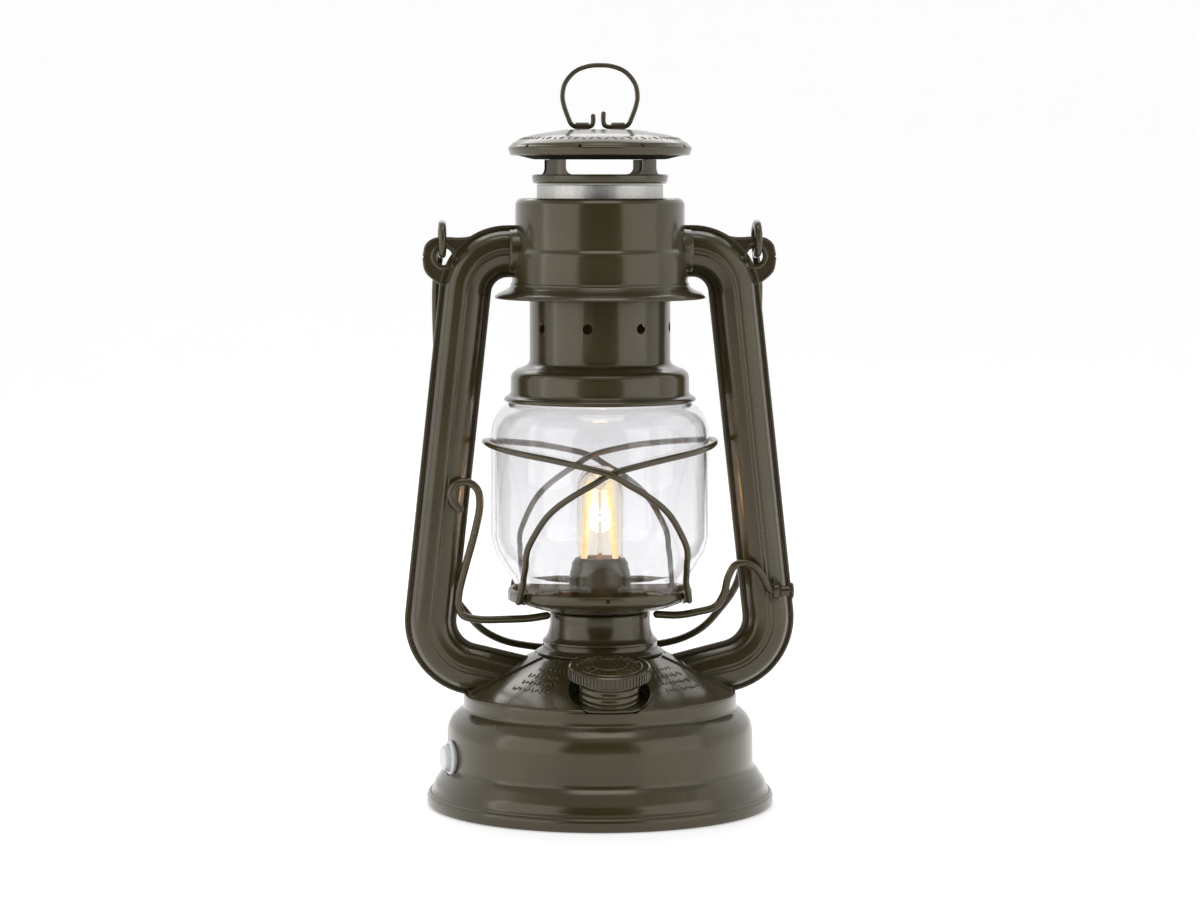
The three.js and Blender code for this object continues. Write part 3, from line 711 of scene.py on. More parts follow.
def finish(
    name: str,
    work: bmesh.types.BMesh,
    look: Finish,
    body: Body,
    replaces: Sequence[str] = (),
    crease: float = 32.0,
) -> bpy.types.Object:
    """Turns a mesh into a finished piece of the lantern.

    Args:
        name: The piece's name.
        work: Its mesh in millimetres, which is freed.
        look: Its finish.
        body: The body that it moves with.
        replaces: The CAD nodes that it stands for.
        crease: Edges sharper than this many degrees stay crisp.

    Returns:
        The new object.
    """
    bmesh.ops.scale(work, vec=(MM, MM, MM), verts=work.verts[:])
    for face in work.faces:
        face.smooth = True
    mesh = bpy.data.meshes.new(name)
    work.to_mesh(mesh)
    work.free()
    mesh.set_sharp_from_angle(angle=math.radians(crease))
    mesh.materials.append(look.material())
    piece = bpy.data.objects.new(name, mesh)
    bpy.context.scene.collection.objects.link(piece)
    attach(piece, body.value)
    if replaces:
        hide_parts(*replaces)
    LOG.info("%s: %d faces on %s", name, len(mesh.polygons), body.value)
    return piece


def dress(node: str, look: Finish) -> None:
    """Gives a CAD node that stays its finish."""
    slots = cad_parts[node].material_slots
    for slot in slots:
        slot.material = look.material()
    LOG.info("%s keeps its CAD shape in %s", node, look.name)


# ---- The lantern's sub-assemblies


@dataclass
class BaseAndFount:
    """The base plate and the fount that stands on it, with its deck and relief."""

    rim: float = 65.6
    body: float = 57.9
    deck_foot: tuple[float, float] = (51.1, 42.5)
    deck_head: tuple[float, float] = (20.9, 58.1)
    screws: tuple[tuple[float, float], ...] = ((-28, 0), (26, 15), (26, -15))

    def deck_height(self, radius: float) -> float:
        """Gives the deck's height at a radius."""
        line = [self.deck_foot, (38, 49.7), (24, 56.9), self.deck_head]
        for (r0, z0), (r1, z1) in zip(line, line[1:]):
            if radius >= r1:
                break
        return z0 + (z1 - z0) * (radius - r0) / (r1 - r0)

    def base(self) -> bmesh.types.BMesh:
        """Models the base plate with its rolled rim."""
        plate = turned(
            [
                (0.01, 1.6), (40, 1.6, 1), (42, 0.9, 1), (58, 0.9, 1), (61, 1.6, 0.6), (62.2, 0, 0.2),
                (self.rim - 0.4, 0, 0.5), (self.rim, 1.6, 0.5), (self.rim, 3.9, 0.5),
                (self.rim - 0.9, 5.1, 0.4), (64.2, 4.9, 0.1), (64.2, 2.4, 0.2), (0.01, 2.4),
            ]
        )
        return drilled(plate, *[drill(1.8, 0, 4, Matrix.Translation((x, y, 0))) for x, y in self.screws])

    def shell(self, openings: Sequence[bmesh.types.BMesh]) -> bmesh.types.BMesh:
        """Models the fount's pressed shell.

        Args:
            openings: What is cut out of it.

        Returns:
            The new mesh.
        """
        shell = pressed(
            [
                (64.2, 2.8), (64.2, 5.0, 0.5), (63.3, 6.2, 0.6), (62.7, 8.6, 1.0), (61.1, 11.0, 1.2),
                (59.7, 13.2, 0.8), (58.3, 14.6, 0.4), (58.0, 15.6, 0.5), (self.body, 28.4, 1.6),
                (57.2, 31.4, 1.4), (55.8, 33.6, 1.2), (53.6, 35.6, 1.0), (51.9, 36.6, 0.5),
                (51.7, 37.6, 0.5), (51.7, 41.6, 0.45), (51.1, 42.6, 0.4), (38, 49.7, 5), (24.2, 56.9, 2),
                self.deck_head,
            ]
        )
        return drilled(shell, *openings)

    def relief(self) -> bmesh.types.BMesh:
        """Models the deck's pressed ornament: rows of raised leaves on both sides of the filler."""
        slope = math.atan2(self.deck_foot[1] - self.deck_head[1], self.deck_foot[0] - self.deck_head[0])
        leaves = []
        for row, radius in enumerate([30.5, 34.3, 38.1, 41.9]):
            count = 7 + row
            for side in (-1, 1):
                for i in range(count):
                    swing = side * (30 + 26 * (i + 0.5 * (row % 2)) / count) - 90
                    height = self.deck_height(radius) - 0.1
                    at = round_z(swing) @ Matrix.Translation((radius, 0, height))
                    at = at @ Matrix.Rotation(-slope, 4, "Y") @ round_z(23 * ((3 * i + 2 * row) % 5) - 46)
                    leaves.append(block((1.5 + 0.4 * ((2 * i + row) % 4), 0.75, 0.7), 0.25, at))
        return joined(*leaves)

    def screw(self, x: float, y: float) -> bmesh.types.BMesh:
        """Models a base screw with a cross slot, at its place."""
        head = plugged(
            [(0, 0.3), (1.6, 0.35, 0.4), (2.8, 1.0, 0.2), (2.8, 1.3), (1.5, 1.35), (1.5, 4.7, 0.3), (0, 4.7)],
            24,
        )
        for size in ((3.2, 0.6, 1.2), (0.6, 3.2, 1.2)):
            head = drilled(head, block(size, 0.05, Matrix.Translation((0, 0, 0.2))))
        return moved(head, Matrix.Translation((x, y, 0)))

    def build(self, openings: Sequence[bmesh.types.BMesh]) -> None:
        """Builds and dresses the base and the fount.

        Args:
            openings: What is cut out of the fount's shell.
        """
        finish("base_plate_pressed", self.base(), ENAMEL, Body.FRAME, ["base_plate"])
        finish("fount_shell_pressed", self.shell(openings), ENAMEL, Body.FRAME, ["fount_shell"], 40)
        finish("deck_ornament", self.relief(), ENAMEL, Body.FRAME)
        for i, (x, y) in enumerate(self.screws, 1):
            finish(f"cross_screw_{i}", self.screw(x, y), ZINC, Body.FRAME, [f"base_screw_{i}"])


@dataclass
class Filler:
    """The filler well, its threaded neck, and the knurled cap with its seal."""

    y: float = -38.5
    z: float = 44.7
    tilt: float = 11.0
    neck: float = 11.2
    well: float = 15.7
    cap: float = 15.0
    ribs: int = 66

    def at(self) -> Matrix:
        """Gives the filler's own frame."""
        return Matrix.Translation((0, self.y, self.z)) @ Matrix.Rotation(math.radians(self.tilt), 4, "X")

    def mouth(self) -> bmesh.types.BMesh:
        """Models what the well takes out of the deck."""
        return drill(self.well + 0.1, -0.9, 20, self.at(), 64)

    def cup(self) -> bmesh.types.BMesh:
        """Models the pressed well with its rolled lip, trimmed to the deck."""
        side = self.well - 0.6
        outline = [(self.neck + 0.3, -0.05), (side - 0.5, -0.05, 0.5), (side, 1.2, 0.4), (side, 16)]
        cup = moved(pressed(outline, -SHEET, 64), self.at())
        deck = [(0.01, 62), (20.9, 58.4), (24, 57.2), (38, 50.0), (50.8, 43.0), (50.8, 20)]
        return drilled(cup, turned([*deck, (90, 20), (90, 90), (0.01, 90)]))

    def thread(self) -> bmesh.types.BMesh:
        """Models the neck with its rolled thread."""
        turns = [(self.neck - 0.5, 1.2, 0.2)]
        for height in (2.2, 4.8, 7.4):
            turns += [
                (self.neck - 0.45, height - 1.1, 0.25), (self.neck + 0.1, height, 0.45),
                (self.neck - 0.45, height + 1.1, 0.25),
            ]
        outline = [
            (self.neck, -3), (self.neck, 0.6, 0.2),
            *turns,
            (self.neck - 0.5, 11.7, 0.3), (self.neck - 1.5, 11.7, 0.3), (self.neck - 1.5, -3),
        ]
        return moved(turned(outline, 72), self.at())

    def lid(self) -> bmesh.types.BMesh:
        """Models the cap: a knurled edge and concentric pressed rings on its crown."""
        lid = turned(
            [
                (12.3, 9.0), (self.cap - 0.3, 9.0, 0.2), (self.cap, 9.3), (self.cap, 12.9),
                (self.cap - 0.7, 13.5, 0.3), (13.6, 13.5, 0.3), (12.9, 13.15, 0.2), (12.2, 13.2, 0.2),
                (11.7, 13.6, 0.25), (6.9, 13.75, 0.4), (6.5, 14.1, 0.2), (5.9, 14.1, 0.2), (5.6, 13.8, 0.3),
                (0.01, 13.85), (0.01, 12.8), (12.3, 12.8),
            ],
            2 * self.ribs,
        )
        edge = [f for f in lid.faces if abs(f.normal.z) < 0.2 and f.calc_center_median().xy.length > 14.5]
        edge.sort(key=lambda f: math.atan2(f.calc_center_median().y, f.calc_center_median().x))
        tall = [f for f in edge if f.calc_area() > 1.0]
        bmesh.ops.inset_individual(lid, faces=tall[::2], thickness=0.12, depth=0.38)
        rays = []
        for i in range(24):
            at = round_z(i * 15) @ Matrix.Translation((9.4, 0, 13.68))
            rays.append(block((3.2 if i % 2 else 1.8, 0.8, 0.7), 0.25, at))
        return moved(joined(lid, *rays), self.at())

    def build(self) -> None:
        """Builds and dresses the filler."""
        finish("filler_cup", self.cup(), ENAMEL, Body.FRAME, ["filler_well"], 40)
        finish("filler_thread", self.thread(), ENAMEL, Body.FRAME, ["filler_neck"])
        finish("filler_lid", self.lid(), ENAMEL, Body.CAP, ["filler_cap"], 28)
        ring = turned([(9, 12.05), (12, 12.05, 0.15), (12, 12.5, 0.15), (9, 12.5)], 64)
        finish("lid_seal", moved(ring, self.at()), RUBBER, Body.SEAL, ["cap_seal"])


@dataclass
class Lamp:
    """The collar and neck on the deck, and the electric lamp in them."""

    collar: float = 21.6
    neck: float = 19.0
    dome: float = 11.7
    bulb: float = 8.8
    strip: float = 2.5
    lead: float = 0.5

    def collar_ring(self) -> bmesh.types.BMesh:
        """Models the collar with its flared foot."""
        ring = turned(
            [
                (19.6, 55.5), (20.5, 55.5), (20.5, 58.6), (23.9, 57.3, 0.1), (24.3, 57.9, 0.2),
                (22.2, 59.1, 0.6), (self.collar, 59.9, 0.4), (self.collar, 61.3, 0.3),
                (self.collar + 0.3, 61.8, 0.3), (self.collar - 0.1, 62.6, 0.3), (19.6, 62.6, 0.2),
            ]
        )
        tab = block((4.5, 3.2, 0.9), 0.3, round_z(-112) @ Matrix.Translation((23.8, 0, 58.2)))
        return joined(ring, tab)

    def neck_ring(self) -> bmesh.types.BMesh:
        """Models the neck below the globe plate."""
        flare = [(21.2, 62.7), (20.3, 63.7, 0.6), (19.5, 65.6, 1), (self.neck, 68.4, 1.4)]
        return pressed([*flare, (self.neck, 72.6, 0.4), (18.5, 73.1, 0.3), (13, 73.1)])

    def dome_shell(self) -> bmesh.types.BMesh:
        """Models the dome over the lamp holder, with its slot and slot lips."""
        dome = pressed(
            [
                (self.dome, 68), (self.dome, 85.5, 1), (11.45, 87.7, 1), (10.9, 89.7, 0.9),
                (10.1, 91.4, 0.8), (9.2, 92.8),
            ],
            SHEET,
            72,
        )
        lip = turned([(9.0, 92.5, 0.1), (9.5, 92.4, 0.2), (9.6, 93.1, 0.3), (9.0, 93.4, 0.3)], 72)
        return joined(dome, lip)

    def bulb_shell(self) -> bmesh.types.BMesh:
        """Models the bulb's glass."""
        return pressed(
            [
                (self.bulb, 86.5), (self.bulb, 119.5, 3), (8.2, 123.6, 1.6), (6.2, 126.3, 1.4),
                (3.2, 127.8, 1.2), (0, 128),
            ],
            0.5,
            64,
        )

    def build(self) -> None:
        """Builds and dresses the collar, the neck and the lamp."""
        finish("collar_ring", self.collar_ring(), ENAMEL, Body.FRAME, ["burner_collar"])
        finish("neck_ring", self.neck_ring(), ENAMEL, Body.FRAME, ["burner_neck"])
        finish("lamp_dome_shell", self.dome_shell(), ENAMEL, Body.FRAME, ["lamp_dome"])
        finish("bulb_shell", self.bulb_shell(), BULB_GLASS, Body.FRAME, ["lamp_bulb"])
        post = [(0, 86.6), (2.6, 86.8, 0.3), (1.1, 91, 1), (0.7, 96, 1), (0.6, 118.4, 0.4), (0, 119)]
        stem = plugged(post, 16)
        finish("filament_post", stem, BULB_GLASS, Body.FRAME, ["filament_stem"])
        for name, low, high in (("left", -6.0, -4.3), ("right", 5.8, 3.6)):
            line = [Vector((low + (high - low) * t / 8, 0, 93.4 + 27.7 * t / 8)) for t in range(9)]
            strip = wired(line, self.strip)
            foot = [Vector((low, 0, 92.6)), Vector((low * 0.6, 0, 89.2)), Vector((low * 0.3, 0, 87))]
            head = [Vector((high, 0, 121.9)), Vector((high * 0.5, 0, 120.6)), Vector((0, 0, 118.6))]
            leads, tops = wired(foot, self.lead, 8), wired(head, self.lead, 8)
            finish(f"glow_strip_{name}", strip, GLOW, Body.FRAME, [f"filament_{name}"])
            finish(f"glow_leads_{name}", joined(leads, tops), LAMP_METAL, Body.FRAME)
        socket = [(0.01, 78), (8.2, 78, 0.4), (8.4, 79), (8.4, 85.4, 0.3), (8.0, 86.1, 0.2), (0.01, 86.1)]
        holder = turned(socket, 48)
        finish("lamp_socket", holder, LAMP_METAL, Body.FRAME, ["lamp_holder"])
        lead = smooth_line([(0, 0, 27.9), (5, 0, 45), (-3, 2, 62), (0, 0, 77.5)], 10)
        finish("lamp_flex", wired(lead, 1.6, 10), BLACK, Body.FRAME, ["lamp_lead"])


@dataclass
class PowerPack:
    """The cells, tray, board and socket inside the fount, and the push switch on its side."""

    cell: float = 9.2
    length: float = 65.0
    switch_angle: float = -168.0
    switch_z: float = 19.6

    def at_switch(self) -> Matrix:
        """Gives the switch's own frame, its Z pointing out of the fount."""
        out = Matrix.Rotation(math.radians(90), 4, "Y")
        return Matrix.Translation((0, 0, self.switch_z)) @ round_z(self.switch_angle) @ out

    def mouths(self) -> list[bmesh.types.BMesh]:
        """Models what the switch and the charge socket take out of the fount."""
        socket = block((10, 8, 4.4), 0.8, Matrix.Translation((0, 57.4, 21)))
        seat = plugged([(0, 50), (6.1, 50), (6.1, 58.1), (6.7, 58.1), (6.7, 62), (0, 62)], 48)
        return [moved(seat, self.at_switch()), socket]

    def cell_body(self, side: float) -> bmesh.types.BMesh:
        """Models a battery cell with its rolled groove and button end."""
        half = self.length / 2
        body = plugged(
            [
                (0, -half), (self.cell, -half, 0.5), (self.cell, half - 4.6, 0.4),
                (self.cell - 0.6, half - 4, 0.3), (self.cell, half - 3.4, 0.4),
                (self.cell, half - 0.9, 0.6), (3, half - 0.9, 0.2), (3, half, 0.3), (0, half),
            ]
        )
        return moved(body, Matrix.Translation((0, side * 11, 14.3)) @ Matrix.Rotation(math.pi / 2, 4, "Y"))

    def board(self) -> bmesh.types.BMesh:
        """Models the driver board with its parts."""
        parts = [block((44, 30, 1.6), 0.15, Matrix.Translation((0, 0, 26.6)))]
        chips = ((-14, 8, 5, 5, 1.5), (-4, -9, 8, 6, 1.2), (12, 7, 6, 4, 2), (14, -8, 4, 4, 3))
        for x, y, wide, deep, tall in chips:
            parts.append(block((wide, deep, tall), 0.3, Matrix.Translation((x, y, 27.3 + tall / 2))))
        return joined(*parts)

    def button(self) -> bmesh.types.BMesh:
        """Models the switch's crowned button."""
        outline = [(0, 52), (4.9, 52), (4.9, 61.2, 0.6), (4.2, 61.9, 0.4), (3.2, 61.75, 0.3), (0, 62.1)]
        return moved(plugged(outline, 48), self.at_switch())

    def bezel(self) -> bmesh.types.BMesh:
        """Models the switch's bezel."""
        outline = [(5.2, 50), (5.9, 50), (5.9, 58.3), (6.5, 58.3, 0.1)]
        outline += [(6.4, 59.3, 0.35), (5.5, 59.7, 0.3), (5.2, 59.4)]
        return moved(turned(outline, 48), self.at_switch())

    def build(self) -> None:
        """Builds and dresses the power pack and the switch."""
        for side, name in ((-1, "front"), (1, "rear")):
            finish(f"cell_{name}", self.cell_body(side), CELL_STEEL, Body.FRAME, [f"battery_cell_{name}"])
        finish("board_with_parts", self.board(), BOARD, Body.FRAME, ["driver_board"])
        finish("button_crowned", self.button(), SWITCH_GREY, Body.BUTTON, ["switch_button"])
        finish("bezel_ring", self.bezel(), SWITCH_GREY, Body.FRAME, ["switch_bezel"])
        dress("battery_tray", BLACK)
        dress("charge_port", ZINC)
        dress("switch_body", BLACK)


@dataclass
class SideTubes:
    """The two air tubes, each of two pressed halves with an ear for the bail."""

    top_centre: tuple[float, float] = (34.8, 193.0)
    top_radius: float = 16.0
    low_centre: tuple[float, float] = (45.15, 70.0)
    low_radius: float = 19.0
    tilt: float = 6.2
    arm_slope: float = 14.0
    end: float = 24.0
    ear: tuple[float, float] = (58.6, 207.0)
    ear_hole: float = 3.1

    def stations(self, depth: Vector) -> list[Matrix]:
        """Gives the frames of the right tube's section.

        Args:
            depth: The way that the section's X runs.

        Returns:
            The frames, from the canopy to the deck.
        """
        frames = []

        def stand(x: float, z: float, angle: float) -> None:
            """Adds a frame at a place on the centre line, where the line heads down by an angle."""
            across = Vector((math.cos(angle), 0, math.sin(angle)))
            heading = Vector((math.sin(angle), 0, -math.cos(angle)))
            turn = Matrix((depth, across, heading)).transposed().to_4x4()
            frames.append(Matrix.Translation((x, 0, z)) @ turn)

        def bend(centre: tuple[float, float], radius: float, start: float, stop: float, steps: int) -> None:
            """Adds the frames of one bend."""
            for i in range(steps + 1):
                angle = math.radians(start + (stop - start) * i / steps)
                stand(centre[0] + radius * math.cos(angle), centre[1] + radius * math.sin(angle), angle)

        stand(27, self.top_centre[1] + self.top_radius, math.radians(90))
        bend(self.top_centre, self.top_radius, 90, self.tilt, 20)
        bend(self.low_centre, self.low_radius, self.tilt, self.arm_slope - 90, 22)
        elbow = frames[-1].translation
        drop = (elbow.x - self.end) * math.tan(math.radians(self.arm_slope))
        stand(self.end, elbow.z - drop, math.radians(self.arm_slope - 90))
        return frames

    def half(self, side: float) -> bmesh.types.BMesh:
        """Models one pressed half of the right tube.

        Args:
            side: -1 for the front half, 1 for the rear one.

        Returns:
            The new mesh.
        """
        edge = [
            (0.3, 9.35, 0.1), (0.35, 9.75, 0.2), (1.25, 9.75, 0.35), (1.35, 8.75, 0.25), (0.8, 8.55, 0.15),
            (0.85, 8.15, 0.3), (2.3, 7.75, 0.6), (5.35, 6.15, 0.9), (6.3, 4.9, 0.8), (7.1, 1.25, 0.3),
            (6.85, 0.75, 0.2), (7.35, 0.0, 0.35),
        ]
        line = edge + [(point[0], -point[1], *point[2:]) for point in edge[-2::-1]]
        work = draw(line, segments=3)
        bmesh.ops.rotate(work, matrix=Matrix.Rotation(math.pi / 2, 3, "X"), verts=work.verts[:])
        bmesh.ops.scale(work, vec=(1, -1, 1), verts=work.verts[:])
        depth = Vector((0, side, 0))
        swept(work, self.stations(depth), capped=False)
        face_out(work, lambda _: depth)
        return thicken(work, SHEET)

    def ear_half(self, side: float) -> bmesh.types.BMesh:
        """Models one half's web and ear, with a raised ring round the bail's hole.

        Args:
            side: -1 for the front half, 1 for the rear one.

        Returns:
            The new mesh.
        """
        reach = self.top_radius + 8.6
        bend = [
            (
                self.top_centre[0] + reach * math.cos(math.radians(a)),
                self.top_centre[1] + reach * math.sin(math.radians(a)),
            )
            for a in (66, 54, 42, 30, 18, 10)
        ]
        x, z = self.ear
        tip = [(60.4, 197.3, 0.8), (65.0, 201.4, 1.2), (66.3, 206.2, 1.6)]
        tip += [(65.4, 211.0, 1.4), (62.4, 213.7, 1.2)]
        work = draw([*bend, *tip, (58, 214.2, 1), (51, 214.2, 1.5)], closed=True)
        hole = bmesh.ops.create_circle(work, segments=32, radius=self.ear_hole)["verts"]
        spot = Matrix.Translation((x, 0, z)) @ Matrix.Rotation(math.pi / 2, 4, "X")
        bmesh.ops.transform(work, matrix=spot, verts=hole)
        bmesh.ops.triangle_fill(work, use_beauty=True, edges=work.edges[:])
        bmesh.ops.translate(work, vec=(0, side * 0.82, 0), verts=work.verts[:])
        grown = bmesh.ops.extrude_face_region(work, geom=work.faces[:])["geom"]
        inner = [item for item in grown if isinstance(item, bmesh.types.BMVert)]
        bmesh.ops.translate(work, vec=(0, -side * 0.66, 0), verts=inner)
        close_out(work)
        boss = [(3.1, 0.3), (5.3, 0.3), (5.2, 0.9, 0.2), (4.5, 1.5, 0.35), (3.6, 1.45, 0.3), (3.1, 0.9, 0.1)]
        ring = turned(boss, 40)
        moved(ring, Matrix.Translation((x, 0, z)) @ Matrix.Rotation(-side * math.pi / 2, 4, "X"))
        lower = [(58.9, 196.6), (61.3, 197.9), (65.2, 201.6), (66.1, 206.2)]
        upper = [(66.0, 207.5), (65.0, 211.3), (62.2, 213.4), (58, 213.8), (50, 213.7), (44.5, 216.0)]
        folds = [
            wired(smooth_line([(across, side * 0.75, up) for across, up in line], 6), 1.25, 10)
            for line in (lower, upper)
        ]
        return joined(work, ring, *folds)

    def ferrule(self) -> bmesh.types.BMesh:
        """Models the soldered ring where the right tube meets the canopy."""
        height = self.top_centre[1] + self.top_radius
        turn = Matrix.Rotation(math.pi / 2, 4, "Y")
        steps = ((29.6, 1.03), (31.6, 1.03), (32.6, 1.0), (33.8, 1.0), (34.3, 0.97), (34.5, 0.9), (34.4, 0.7))
        frames = [Matrix.Translation((x, 0, height)) @ turn @ Matrix.Scale(size, 4) for x, size in steps]
        return close_out(swept(ring_section(8.5, 64, 10.0 / 8.5), frames))

    def saddle(self) -> bmesh.types.BMesh:
        """Models the saddle that holds the right tube's foot on the deck."""
        work = spun(draw([(50.6, 43.6), (38, 50.5, 5), (24.9, 57.2)]), ROUND_STEPS * 2)
        trimmed(work, ((0, 10.2, 0), (0, 1, 0)), ((0, -10.2, 0), (0, -1, 0)), ((20, 0, 0), (-1, 0, 0)))
        face_out(work, lambda _: Z_AXIS)
        thicken(work, 0.9)
        return work

    def build(self) -> None:
        """Builds and dresses both tubes."""
        for side, name in ((-1, "front"), (1, "rear")):
            right = joined(self.half(side), self.ear_half(side))
            left = mirrored_sheet(right)
            finish(f"tube_right_{name}", right, ENAMEL, Body.FRAME, [f"right_tube_{name}"], 38)
            finish(f"tube_left_{name}", left, ENAMEL, Body.FRAME, [f"left_tube_{name}"], 38)
        for name, work in (("ferrule", self.ferrule()), ("foot", self.saddle())):
            left = mirrored_sheet(work)
            finish(f"{name}_right", work, ENAMEL, Body.FRAME, [f"right_tube_{name}"], 38)
            finish(f"{name}_left", left, ENAMEL, Body.FRAME, [f"left_tube_{name}"], 38)


@dataclass
class Canopy:
    """The fixed canopy that joins the side tubes over the chimney."""

    band: float = 33.1
    top: float = 228.6

    def build(self) -> None:
        """Builds and dresses the canopy: flared rim, band, barrel and turned-in top."""
        work = pressed(
            [
                (39.3, 191.2, 0.2), (39.9, 191.7, 0.25), (38.6, 193.1, 0.8), (34.6, 194.9, 1.2),
                (33.4, 196.3, 0.6), (self.band, 197.6, 0.5), (self.band, 207.5, 0.5), (32.7, 208.9, 0.6),
                (31.9, 209.7, 0.5), (31.8, 210.6, 0.4), (31.8, 226.9, 0.3), (31.0, 228.1, 0.3),
                (30.0, 228.8, 0.3), (24.6, 228.9),
            ]
        )
        bead = turned([(33.0, 195.6), (33.7, 195.9, 0.3), (33.7, 196.9, 0.4), (33.0, 197.3)], ROUND_STEPS)
        finish("canopy_drum", joined(work, bead), ENAMEL, Body.FRAME, ["canopy"], 40)


@dataclass
class GlobeCarrier:
    """The glass globe on its plate, caged by two crossed wires, with its guide wire."""

    wall: float = 1.7
    guard: float = 2.4
    guide: float = 2.9
    glass: tuple[tuple[float, ...], ...] = (
        (30.2, 78), (31.2, 81), (33.5, 86), (35.8, 89), (39.7, 95.5), (41.2, 101), (41.2, 141),
        (40.4, 144.8), (38.4, 148.5), (35.6, 151.2), (32.6, 153.2), (32.2, 156.5),
    )
    climb: tuple[tuple[float, float], ...] = (
        (-61.3, 78.6), (-59.4, 81.5), (-57.2, 84.5), (-53.8, 88.2), (-47.4, 93.5), (-43, 100.1),
        (-32.5, 111.6), (-21.9, 118.4), (-7.2, 125.1), (3, 129.2), (28.5, 133.3), (64.3, 136.2),
        (90, 137.3),
    )

    def glass_radius(self, height: float) -> float:
        """Gives the glass's outer radius at a height."""
        for (r0, z0), (r1, z1) in zip(self.glass, self.glass[1:]):
            if height <= z1:
                break
        return r0 + (r1 - r0) * (height - z0) / (z1 - z0)

    def globe(self) -> bmesh.types.BMesh:
        """Models the blown globe."""
        eased = [(r, z, 1.4) for r, z in self.glass[1:-1]]
        return pressed([self.glass[0], *eased, self.glass[-1]], self.wall, 128)

    def plate(self) -> bmesh.types.BMesh:
        """Models the plate under the globe, with its rolled rim and vent holes."""
        plate = turned(
            [
                (13.5, 73.4), (19, 73.3, 1), (28.2, 75.6, 1), (32.8, 77.5, 0.8), (33.9, 79.1, 0.5),
                (33.9, 81.3, 0.3), (33.5, 82.0, 0.25), (33.1, 81.6, 0.15), (33.0, 79.4, 0.4),
                (32.2, 78.3, 0.3), (28, 76.5, 1), (19, 74.1, 1), (13.5, 74.1),
            ]
        )
        vents = []
        for i in range(16):
            lean = Matrix.Rotation(math.radians(-22), 4, "Y")
            at = round_z(i * 22.5 + 4) @ Matrix.Translation((30.4, 0, 77)) @ lean
            vents.append(drill(0.75, -2, 2, at, 12))
        side = Matrix.Translation((0, 0, 80.3)) @ Matrix.Rotation(math.pi / 2, 4, "Y")
        vents += [moved(drill(0.85, 31.6, 35, side, 16), round_z(90 * i)) for i in range(4)]
        return drilled(plate, *vents)

    def guard_line(self, stand_off: float) -> list[Vector]:
        """Gives one guard wire's centre line.

        Args:
            stand_off: How far it stands further out where the two wires cross.

        Returns:
            Its points, from its front foot round the right side to its rear foot.
        """
        fall = [(180 - angle, z) for angle, z in reversed(self.climb[:-1])]
        places = []
        for place in smooth_line([(angle, z, 0) for angle, z in (*self.climb, *fall)], 2, 0.0):
            near = min(abs(place.x), abs(place.x - 180)) / 16
            bulge = self.glass_radius(place.y) - 34.3
            radius = 36.4 + (bulge + math.hypot(bulge, 1.4)) / 2 + stand_off * math.exp(-near * near)
            turn = math.radians(place.x)
            places.append((radius * math.sin(turn), -radius * math.cos(turn), place.y))
        return smooth_line(places, 4)

    def clip(self) -> bmesh.types.BMesh:
        """Models the right clip that holds the wires' feet on the plate's rim."""
        outline = [(34.4, 77.4), (35.0, 77.9, 0.2), (35.0, 81.1, 0.3), (34.2, 81.9, 0.2)]
        work = spun(draw(outline), ROUND_STEPS * 2)
        trimmed(work, ((0, 17.5, 0), (0, 1, 0)), ((0, -17.5, 0), (0, -1, 0)), ((20, 0, 0), (-1, 0, 0)))
        face_out(work, lambda at: Vector((at.x, at.y, 0)))
        return thicken(work, 0.5)

    def guide_line(self) -> list[Vector]:
        """Gives the guide wire's centre line, from under the plate to its curl at the left tube."""
        return smooth_line(
            [
                (-20.6, -6, 72.1), (-27, -6.2, 71.2), (-36, -6.4, 70.9), (-47, -6.5, 71.1),
                (-52.2, -6.6, 72.6), (-53.9, -6.8, 76.4), (-53.7, -7, 81), (-51.6, -7.6, 90),
                (-47.6, -8.8, 105), (-45.9, -9.4, 115), (-46.8, -9.7, 120.2), (-50, -9.7, 122.9),
                (-54.3, -9.7, 122.6), (-56.6, -9.7, 119.6), (-55.8, -9.7, 115.6), (-53.4, -9.7, 113),
            ],
            7,
        )

    def build(self) -> None:
        """Builds and dresses the globe and what carries it."""
        finish("globe_blown", self.globe(), GLOBE_GLASS, Body.GLOBE, ["glass_globe"], 60)
        finish("globe_dish", self.plate(), ENAMEL, Body.GLOBE, ["globe_plate"])
        first = wired(self.guard_line(0), self.guard)
        second = mirrored(wired(self.guard_line(2.9), self.guard))
        finish("cage_wire_a", first, ENAMEL, Body.GLOBE, ["guard_wire_a"])
        finish("cage_wire_b", second, ENAMEL, Body.GLOBE, ["guard_wire_b"])
        right = self.clip()
        left = mirrored_sheet(right)
        finish("cage_clip_right", right, ENAMEL, Body.GLOBE, ["guard_clip_right"])
        finish("cage_clip_left", left, ENAMEL, Body.GLOBE, ["guard_clip_left"])
        finish("guide_rod", wired(self.guide_line(), self.guide), ENAMEL, Body.GLOBE, ["guide_wire"])


